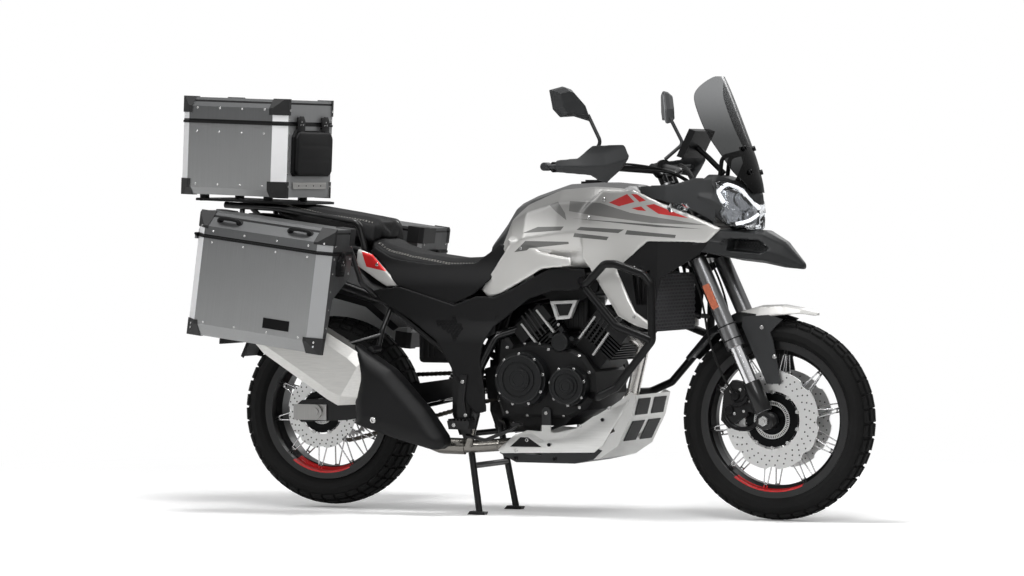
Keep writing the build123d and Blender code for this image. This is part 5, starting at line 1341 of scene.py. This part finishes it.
# dark parts that close the views through the bike, and the rear brake's reservoir
hiddenBlocks = {  # middle and size in millimetres, rounding of the edges
    "throttleBodies": ((192, 0, 668), (110, 150, 120), 14), "airBox": ((250, 0, 770), (330, 190, 90), 16),
    "fanShroud": ((452, 0, 712), (44, 318, 184), 8), "batteryBox": ((-316, 0, 590), (118, 128, 190), 14),
    "fanHub": ((426, 0, 712), (30, 120, 120), 20),
}
reservoir = {
    "place": (-215, -96), "foot": 545, "lid": 600, "top": 610, "radius": 0.017, "lidRadius": 0.0185,
    "hose": [(-215, -96, 545), (-205, -100, 500), (-170, -110, 460), (-160, -120, 420)], "hoseRadius": 0.005,
}


def addHiddenBlock(name):
    (x, y, z), (length, width, height), edge = hiddenBlocks[name]
    made = [bevelled(addBlock(mm(x, y, z), mm(length, width, height)), edge / 1000, 3)]
    for index in range(-2, 3):
        rib = addBlock(mm(x + index * length / 6, y, z), mm(5, width + 6, height * 0.8))
        made.append(bevelled(rib, 0.0015))
    dress(joined(made), name, engineBlack, "chassis")


def addReservoir():
    x, y = reservoir["place"]
    foot, lid, top = (mm(x, y, reservoir[level]) for level in ("foot", "lid", "top"))
    tank = bevelled(addRod(lid, foot, reservoir["radius"], 24), 0.003)
    cap = bevelled(addRod(lid, top, reservoir["lidRadius"], 24), 0.002)
    hose = addTube([mm(*point) for point in reservoir["hose"]], reservoir["hoseRadius"], 6)
    dress(joined([tank, cap, hose]), "brakeReservoir", blackPlastic, "chassis")


for name in hiddenBlocks:
    addHiddenBlock(name)
addReservoir()


# skid plate: bright sides with a window, dark slots in front
skid = {  # ahead and up on the sides, across and up on the front
    "side": [(-44, 216), (19, 268), (74, 274), (121, 247), (191, 263), (297, 332), (343, 347), (400, 374),
             (424, 392), (398, 345), (330, 238), (300, 214), (-30, 205)],
    "window": [(-8, 224), (36, 262), (66, 262), (124, 225)],
    "opening": [(-3.64, 226.64), (37.28, 259.32), (65.18, 259.32), (119.12, 227.5)],
    "slots": [((-122, -16), (252, 318)), ((16, 122), (252, 318)), ((-122, -16), (338, 392)),
              ((16, 122), (338, 392))],
    "bolts": [(140, 236), (20, 190), (160, 190), (330, 322)], "bolt": 0.012,
    "sheetSide": 150.5, "sheet": 3, "windowSide": 153.4, "windowSheet": 1.4, "openingSide": 152.9,
    "wall": 0.003, "recess": 0.0012, "slotProud": 0.0006,
}


def addSkidSides():
    side = addPlate([mm(x, -skid["sheetSide"], z) for x, z in skid["side"]], mm(0, -skid["sheet"], 0))
    level = skid["windowSide"]
    window = addPlate([mm(x, -level, z) for x, z in skid["window"]], mm(0, -skid["windowSheet"], 0))
    made = joined([bevelled(side, 0.001), recessed(window, skid["wall"], skid["recess"])])
    dress(bothSides(made), "skidSides", guardAlu, "chassis", 25)
    bolts = [(mm(x, way * level, z), (0, way, 0), skid["bolt"]) for way in (-1, 1) for x, z in skid["bolts"]]
    dress(scattered(socketBolt, bolts), "skidSideBolts", boltBlack, "chassis")


def addSkidOpenings():
    opening = addPlate([mm(x, -skid["openingSide"], z) for x, z in skid["opening"]], mm(0, -1, 0))
    made = [bothSides(opening)]
    for (low, high), (bottom, top) in skid["slots"]:
        starts = [mm(600, y, z) for y, z in ((low, bottom), (high, bottom), (high, top), (low, top))]
        hits = placesOn(["skid_plate"], [(start, (-1, 0, 0)) for start in starts], 1, -skid["slotProud"])
        slot = addPlate([corner for corner, _, _ in hits], (0.0012, 0, -0.0006))
        made.append(bevelled(slot, 0.0005, 1))
    dress(joined(made), "skidOpenings", blackPlastic, "chassis", 25)


addSkidSides()
addSkidOpenings()


# control cables from the bar to the headstock, and the windscreen's bolts
cables = {
    "runs": [
        [(398, -330, 1144), (440, -250, 1148), (500, -150, 1142), (547, -70, 1130), (578, -30, 1102)],
        [(400, -318, 1138), (450, -240, 1138), (515, -140, 1134), (556, -64, 1122), (582, -24, 1092)],
        [(396, -342, 1152), (436, -262, 1158), (492, -166, 1148), (536, -92, 1134), (570, -42, 1106)],
    ],
    "radii": (0.0042, 0.0039, 0.0036),
}
screenBolts = {"spots": [(50, 1128), (44, 1205)], "dropFrom": 1000, "size": 0.017}


def addCables():
    made = []
    for run, radius in zip(cables["runs"], cables["radii"]):
        made.append(addTube([mm(*point) for point in run], radius, 6))
    dress(bothSides(joined(made)), "controlCables", rubberBlack, "steering")


def addScreenBolts():
    away = screenBolts["dropFrom"]
    starts = [(mm(away, side * y, z), (-1, 0, 0)) for y, z in screenBolts["spots"] for side in (-1, 1)]
    places = placesOn(["windshieldSheet"], starts, screenBolts["size"], 0)
    dress(scattered(socketBolt, places), "screenBolts", boltBlack, "chassis")


addCables()
addScreenBolts()
print("frame parts done")


# engine: bolts, machined fin edges, the bracket between the cylinders, rings and ribs
engine = {
    "nodes": ["engine_case", "engine_covers", "engine_cylinders"], "bolt": 0.0105,
    "bolts": [(-15, 553), (44, 564), (97, 565), (133, 548), (240, 527), (277, 475), (283, 401), (-46, 379),
              (-15, 340), (55, 332), (122, 332), (186, 333), (243, 360), (155, 629), (166, 608), (235, 625),
              (209, 662), (40, 700), (330, 560)],
    "boltRings": {-1: [((50, 450), 83.5, 9), ((214, 430), 61.5, 7)],
                  1: [((205, 470), 78, 9), ((40, 420), 48.5, 6)]},
    "fins": [((80, 677), (143, 603)), ((26, 631), (80, 566)), ((290, 658), (232, 584)),
             ((338, 606), (281, 531))],
    "finSide": -123.6, "finHalf": 0.0032, "finDepth": 0.0134,
    "bracket": [(133, 706), (230, 711), (204, 650), (155, 645)], "bracketSide": -132, "bracketDepth": 0.022,
    "wall": 0.010, "recess": 0.012,
    "hole": [(149, 696), (217, 699), (195, 661), (163, 658)], "holeSide": -122, "holeDepth": 0.008,
    "rings": [((50, -201, 450), 0.0323), ((50, -201, 450), 0.0204), ((214, -191, 430), 0.02375),
              ((214, -191, 430), 0.015)],
    "rims": [((50, -195.5, 450), 0.078), ((214, -185.5, 430), 0.057)],
    "cap": (174, 572), "capDots": (0.3, 1.5, 2.6, 3.6), "capReach": 41,  # the dots' angles and distance
    "ribs": [((66, 690), (128, 612), -13), ((300, 668), (244, 596), 13)], "ribCount": 3, "ribDrop": 11,
}


def addEngineBolts():
    for name, side in (("engineBoltsRight", -1), ("engineBoltsLeft", 1)):
        spots = list(engine["bolts"])
        for (x, z), radius, count in engine["boltRings"][side]:
            for index in range(count):
                turn = math.tau * (index + 0.3) / count
                spots.append((x + radius * math.cos(turn), z + radius * math.sin(turn)))
        starts = [(mm(x, side * 400, z), (0, -side, 0)) for x, z in spots]
        bolts = scattered(socketBolt, placesOn(engine["nodes"], starts, engine["bolt"]))
        dress(bolts, name, boltSteel, "chassis")


def addEngineTrim():
    made = []
    for (ax, az), (bx, bz) in engine["fins"]:
        start, end = mm(ax, engine["finSide"], az), mm(bx, engine["finSide"], bz)
        way = (end - start).normalized()
        across = Vector((-way.z, 0, way.x)) * engine["finHalf"]
        corners = [start + across, end + across, end - across, start - across]
        fin = addPlate(corners, (0, engine["finDepth"], 0))
        made.append(bevelled(fin, 0.0008, 1))
    corners = [mm(x, engine["bracketSide"], z) for x, z in engine["bracket"]]
    bracket = recessed(addPlate(corners, (0, engine["bracketDepth"], 0)), engine["wall"], engine["recess"])
    made.append(bevelled(bracket, 0.0012))
    dress(bothSides(joined(made)), "engineTrim", machined, "chassis")
    corners = [mm(x, engine["holeSide"], z) for x, z in engine["hole"]]
    hole = bevelled(addPlate(corners, (0, engine["holeDepth"], 0)), 0.001, 1)
    dress(bothSides(hole), "bracketInner", engineBlack, "chassis")


def addCoverRings():
    rings = [addRing(mm(*middle), (0, 1, 0), radius, 0.0012, 40, 6) for middle, radius in engine["rings"]]
    dress(joined(rings), "coverRings", coverGrey, "chassis")
    rims = [addRing(mm(*middle), (0, 1, 0), radius, 0.003, 56, 8) for middle, radius in engine["rims"]]
    dress(joined(rims), "coverRims", coverGrey, "chassis")


def addEngineCap():
    x, z = engine["cap"]
    made = [bevelled(addRod(mm(x, -126, z), mm(x, -151, z), 0.033, 40, 0.030), 0.004, 3)]
    made.append(addRing(mm(x, -150, z), (0, 1, 0), 0.022, 0.0016, 36, 6))
    for turn in engine["capDots"]:
        dx, dz = engine["capReach"] * math.cos(turn), engine["capReach"] * math.sin(turn)
        made.append(addRod(mm(x + dx, -128, z + dz), mm(x + dx, -140, z + dz), 0.008))
    dress(joined(made), "engineCap", coverGrey, "chassis")


def addCylinderRibs():
    made = []
    for (ax, az), (bx, bz), step in engine["ribs"]:
        for index in range(1, engine["ribCount"] + 1):
            shift, lower = index * step, index * engine["ribDrop"]
            ends = [mm(ax + shift, -121, az - lower), mm((ax + bx) / 2 + shift, -124, (az + bz) / 2 - lower),
                    mm(bx + shift, -121, bz - lower)]
            made.append(addTube(ends, 0.0042, 4))
    dress(bothSides(joined(made)), "cylinderRibs", engineBlack, "chassis")


addEngineBolts()
addEngineTrim()
addCoverRings()
addEngineCap()
addCylinderRibs()
print("engine trimmed")


# wheels: slotted sensor ring, carrier buttons, spoke nuts and valves
wheels = {  # metres; a ring's place out from the middle, radius and teeth; the buttons' reach and number
    "front": {"axle": frontAxle, "body": "front_wheel", "sides": (-1, 1), "ring": (0.0665, 0.0600, 56),
              "disc": 0.0606, "buttons": (0.0905, 10), "rim": 0.2135, "seat": 0.030},
    "rear": {"axle": rearAxle, "body": "rear_wheel", "sides": (-1,), "ring": (0.1020, 0.042, 44),
             "disc": 0.1005, "buttons": (0.0745, 8), "rim": 0.1885, "seat": 0.044},
    "ringWidth": 0.011, "tooth": (0.010, 0.0024, 0.0030), "button": 0.0145, "nut": 0.009,
    "spokes": 20, "lean": 26,
    "leftShift": 0.25,  # of the pitch between the spokes, from the right side to the left one
}


def addSensorRing(name):
    form = wheels[name]
    x, z = form["axle"]
    level, radius, teeth = form["ring"]
    width = wheels["ringWidth"]
    reach = radius - width / 2
    made = []
    for side in form["sides"]:
        for edge in (radius, radius - width):
            made.append(addRing((x, side * level, z), (0, 1, 0), edge, 0.0017, 72, 6))
        for index in range(teeth):
            turn = math.tau * (index + 0.5) / teeth
            middle = Vector((x + reach * math.cos(turn), side * level, z + reach * math.sin(turn)))
            tooth = addBlock((0, 0, 0), wheels["tooth"])
            tooth.data.transform(Matrix.Translation(middle) @ Matrix.Rotation(-turn, 4, "Y"))
            made.append(tooth)
    dress(joined(made), name + "SensorRing", sensorSteel, form["body"])


def addWheelBolts(name):
    form = wheels[name]
    x, z = form["axle"]
    reach, count = form["buttons"]
    places = []
    for side in form["sides"]:
        for index in range(count):
            turn = math.tau * (index + 0.5) / count
            middle = (x + reach * math.cos(turn), side * form["disc"], z + reach * math.sin(turn))
            places.append((middle, (0, side, 0), wheels["button"]))
    for side in (-1, 1):
        for index in range(wheels["spokes"]):
            lean = wheels["lean"] if index % 2 else -wheels["lean"]
            shift = wheels["leftShift"] if side > 0 else 0
            turn = math.radians((index + shift) * 360 / wheels["spokes"] + lean)
            inward = Vector((-math.cos(turn), 0, -math.sin(turn)))
            middle = Vector((x, side * form["seat"], z)) - inward * (form["rim"] + 0.0015)
            places.append((middle, inward, wheels["nut"]))
    dress(scattered(hexNut, places), name + "WheelBolts", boltSteel, form["body"])


def addValve(name):
    form = wheels[name]
    x, z = form["axle"]
    rim, side = z + form["rim"], -0.006
    stem = addRod((x, side, rim + 0.002), (x, side, rim - 0.022), 0.004, 12)
    cap = addRod((x, side, rim - 0.020), (x, side, rim - 0.032), 0.0052, 12)
    dress(joined([stem, cap]), name + "Valve", boltBlack, form["body"])


for name in ("front", "rear"):
    addSensorRing(name)
    addWheelBolts(name)
    addValve(name)
print("wheels trimmed")


# fork: reflectors, axle caps, brake hoses, caliper pots and bolts
fork = {  # metres up the leg from the axle; bolts, pots, arm and stay are in millimetres from it
    "lean": math.radians(25), "half": 0.105,
    "reflector": (0.398, 0.084, 0.024), "reflectorOut": 0.0285, "reflectorHalf": 0.003,
    "foot": (0.030, 0.135), "axleCap": (-0.024, 0.0335), "nutOut": 0.0333, "nut": 0.034,
    "collars": [(0.286, 0.0275, 0.0045), (0.334, 0.0312, 0.0022)],
    "hose": [(0.12, 1, -0.075, -0.012), (0.20, 1, -0.085, 0), (0.33, 1, -0.075, 0), (0.44, 1, -0.042, 0),
             (0.56, 1, -0.034, 0), (0.60, 0.6, -0.03, 0)],
    "pots": [(-118, 78), (-138, 30)], "potSide": 89, "potRadius": 0.017, "potHeight": 0.008,
    "arm": [(-48, 96, -24), (-96, 94, -32), (-144, 88, -16), (-158, 86, 22)],
    "stay": [(-86, 95, 44), (-122, 90, 52)],
    "bolts": [("fork_guards", [(-30, 300), (14, 205)], 0.014),
              ("front_calipers", [(-132, 92), (-100, 98), (-120, 20), (-88, 28), (-66, 62)], 0.01)],
}
forkUp = Vector((-math.sin(fork["lean"]), 0, math.cos(fork["lean"])))
forkAhead = Vector((math.cos(fork["lean"]), 0, math.sin(fork["lean"])))
frontHub = Vector((frontAxle[0], 0, frontAxle[1]))


def onFork(rise, side, ahead=0.0, out=0.0):
    return frontHub + Vector((0, side * (fork["half"] + out), 0)) + forkUp * rise + forkAhead * ahead


def addReflectors():
    rise, length, width = fork["reflector"]
    turn = Matrix.Rotation(-fork["lean"], 4, "Y")
    made = []
    for side in (-1, 1):
        lens = bevelled(addBlock((0, 0, 0), (width, 0.005, length)), width * 0.45, 5)
        for vertex in lens.data.vertices:
            vertex.co.y = math.copysign(fork["reflectorHalf"], vertex.co.y)
        middle = onFork(rise + length / 2, side, out=fork["reflectorOut"])
        lens.data.transform(Matrix.Translation(middle) @ turn)
        made.append(lens)
    dress(joined(made), "forkReflectors", orangeLens, "steering")


def addAxleFeet():
    (low, high), (inner, outer) = fork["foot"], fork["axleCap"]
    feet, collars = [], []
    for side in (-1, 1):
        feet.append(bevelled(addRod(onFork(low, side), onFork(high, side), 0.0295, 28, 0.0288), 0.003))
        cap = addRod(onFork(0, side, out=inner), onFork(0, side, out=outer), 0.029, 32)
        feet.append(bevelled(cap, 0.003))
        collars += [addRing(onFork(rise, side), forkUp, *ring, 36, 8) for rise, *ring in fork["collars"]]
    dress(joined(feet), "axleFeet", frameBlack, "steering")
    dress(joined(collars), "forkCollars", boltBlack, "steering")


def addBrakeHoses():
    made = []
    for side in (-1, 1):
        run = [onFork(rise, side * share, ahead, out) for rise, share, ahead, out in fork["hose"]]
        made.append(addTube(run, 0.0036))
    dress(joined(made), "brakeHoses", rubberBlack, "steering")


def addCaliperPots():
    radius = fork["potRadius"]
    made = []
    for side in (-1, 1):
        for x, z in fork["pots"]:
            middle = frontHub + mm(x, side * fork["potSide"], z)
            outer = middle + Vector((0, side * fork["potHeight"], 0))
            made.append(bevelled(addRod(middle, outer, radius, 28, radius * 0.85), 0.0015))
        arm = [onFork(0.012, side, out=-0.012) - Vector((0.02, 0, 0))]
        arm += [frontHub + mm(x, side * y, z) for x, y, z in fork["arm"]]
        made.append(addTube(arm, 0.0075, 8))
        stay = [onFork(0.10, side, -0.03)] + [frontHub + mm(x, side * y, z) for x, y, z in fork["stay"]]
        made.append(addTube(stay, 0.0085, 8))
    dress(joined(made), "caliperPots", boltBlack, "steering")


def addForkBolts():
    places = []
    for node, spots, size in fork["bolts"]:
        starts = [(frontHub + mm(x, side * 200, z), (0, -side, 0)) for side in (-1, 1) for x, z in spots]
        places += placesOn([node], starts, size)
    nuts = [(onFork(0, side, out=fork["nutOut"]), (0, side, 0), fork["nut"]) for side in (-1, 1)]
    dress(joined([scattered(socketBolt, places), scattered(hexNut, nuts)]), "forkBolts", boltSteel, "steering")


addReflectors()
addAxleFeet()
addBrakeHoses()
addCaliperPots()
addForkBolts()
print("fork trimmed")


# bolts of the heat shield, hangers, skid plate, body and tail, dropped on from both sides
fastenings = {
    "shield": {"nodes": ["heatShield"], "spots": [(-416, 315)], "size": 0.021},
    "hangers": {"nodes": ["footrests", "main_frame"], "spots": [(-143, 440), (-150, 300), (-132, 330)],
                "size": 0.013},
    "skid": {"nodes": ["skid_plate"], "spots": [(128, 340), (22, 215), (60, 250), (250, 300), (352, 360)],
             "size": 0.012},
    "shroud": {"nodes": ["bodyShell"], "spots": [(300, 980), (352, 1040), (470, 660), (50, 880), (-480, 822)],
               "size": 0.011},
    "tail": {"nodes": ["rear_mudguard"], "spots": [(-600, 850), (-760, 900), (-940, 950)], "size": 0.012},
}


def addFastenings(name):
    form = fastenings[name]
    starts = [(mm(x, side * 500, z), (0, -side, 0)) for side in (-1, 1) for x, z in form["spots"]]
    places = placesOn(form["nodes"], starts, form["size"])
    dress(scattered(socketBolt, places), name + "Bolts", boltSteel, "chassis")


for name in fastenings:
    addFastenings(name)
print("fasteners done")


# studio: camera, area lights, a floor that fades into a bright backdrop
studio = {
    "eye": (6.413, -14.6693, 1.0947), "heading": math.radians(113.8126), "tilt": math.radians(-1.249),
    "lens": 169.85,
    "lights": [  # name, place, aim, size in metres, watts
        ("keyLight", (3.2, -5.5, 4.6), (0, 0, 0.7), 2.4, 165),
        ("topLight", (-0.1, -0.9, 5.6), (0, 0, 0), 1.5, 190),
        ("rearLight", (-5.0, -3.5, 4.2), (0, 0, 0.7), 3.2, 80),
        ("farLight", (1.0, 6.0, 4.5), (0, 0, 0.7), 3.4, 90),
    ],
    "floorColour": (0.93, 0.93, 0.93), "floorGlow": (0.14, 0.14, 0.14), "skyLevel": 0.32,
    "fadeFrom": 1.7, "fadeTo": 3.4,  # metres from the middle, where the floor turns into backdrop
}


def addCamera():
    heading, tilt = studio["heading"], studio["tilt"]
    ahead = Vector((math.cos(tilt) * math.cos(heading), math.cos(tilt) * math.sin(heading), math.sin(tilt)))
    bpy.ops.object.camera_add(location=studio["eye"])
    camera = bpy.context.active_object
    camera.rotation_euler = ahead.to_track_quat("-Z", "Y").to_euler()
    camera.data.lens = studio["lens"]
    camera.data.clip_end = 200
    bpy.context.scene.camera = camera


def addLight(name, place, aim, size, power):
    bpy.ops.object.light_add(type="AREA", location=place)
    light = bpy.context.active_object
    light.name = name
    light.data.size = size
    light.data.energy = power
    light.rotation_euler = (Vector(aim) - Vector(place)).to_track_quat("-Z", "Y").to_euler()


def addFloor():
    bpy.ops.mesh.primitive_plane_add(size=80, location=(0, 0, 0))
    floor = bpy.context.active_object
    floor.name = "studioFloor"
    paint = Paint("studioFloor", Base_Color=studio["floorColour"], Roughness=0.9)
    ahead, side, _ = paint.axes()
    distance = (ahead * ahead + side * side).root()
    seen = paint.node("ShaderNodeLightPath", output=0)
    backdrop = paint.node("ShaderNodeEmission", None, {"Color": (1, 1, 1), "Strength": 1.0})
    paint.set(Base_Color=paint.mix(seen, studio["floorColour"], (1.0, 1.0, 1.0)), Emission_Strength=1.0,
              Emission_Color=paint.mix(seen, (0.0, 0.0, 0.0), studio["floorGlow"]))
    faded = distance.rise(studio["fadeFrom"], studio["fadeTo"]) * seen
    surface = Value(paint.tree, paint.shader.outputs[0])
    both = paint.node("ShaderNodeMixShader", None, {0: faded, 1: surface, 2: backdrop})
    paint.tree.links.new(both.socket, paint.tree.nodes["Material Output"].inputs["Surface"])
    floor.data.materials.append(paint.material)


def addSky():  # white to the camera and through glass, dimmer as light, graded in reflections
    world = bpy.data.worlds.new("studioSky")
    world.use_nodes = True
    bpy.context.scene.world = world
    tree = world.node_tree
    backdrop = tree.nodes["Background"]
    direct = [addNode(tree, "ShaderNodeLightPath", output=index) for index in (0, 6)]
    glossy = addNode(tree, "ShaderNodeLightPath", output=3)
    upward = addNode(tree, "ShaderNodeSeparateXYZ", None, {0: addNode(tree, "ShaderNodeTexCoord")}, 2)
    white = (direct[0] + direct[1]).clamped()
    mirrorTone = 0.1 + upward.rise(-0.1, 0.6) * 0.6
    level = white + (1 - white) * (glossy * mirrorTone + (1 - glossy) * studio["skyLevel"])
    tree.links.new(level.socket, backdrop.inputs["Strength"])
    backdrop.inputs["Color"].default_value = (1, 1, 1, 1)


addCamera()
for light in studio["lights"]:
    addLight(*light)
addFloor()
addSky()
bpy.context.scene.view_settings.view_transform = "Standard"
print("studio ready")

for source in (socketBolt, rivet, hexNut):
    drop(source)
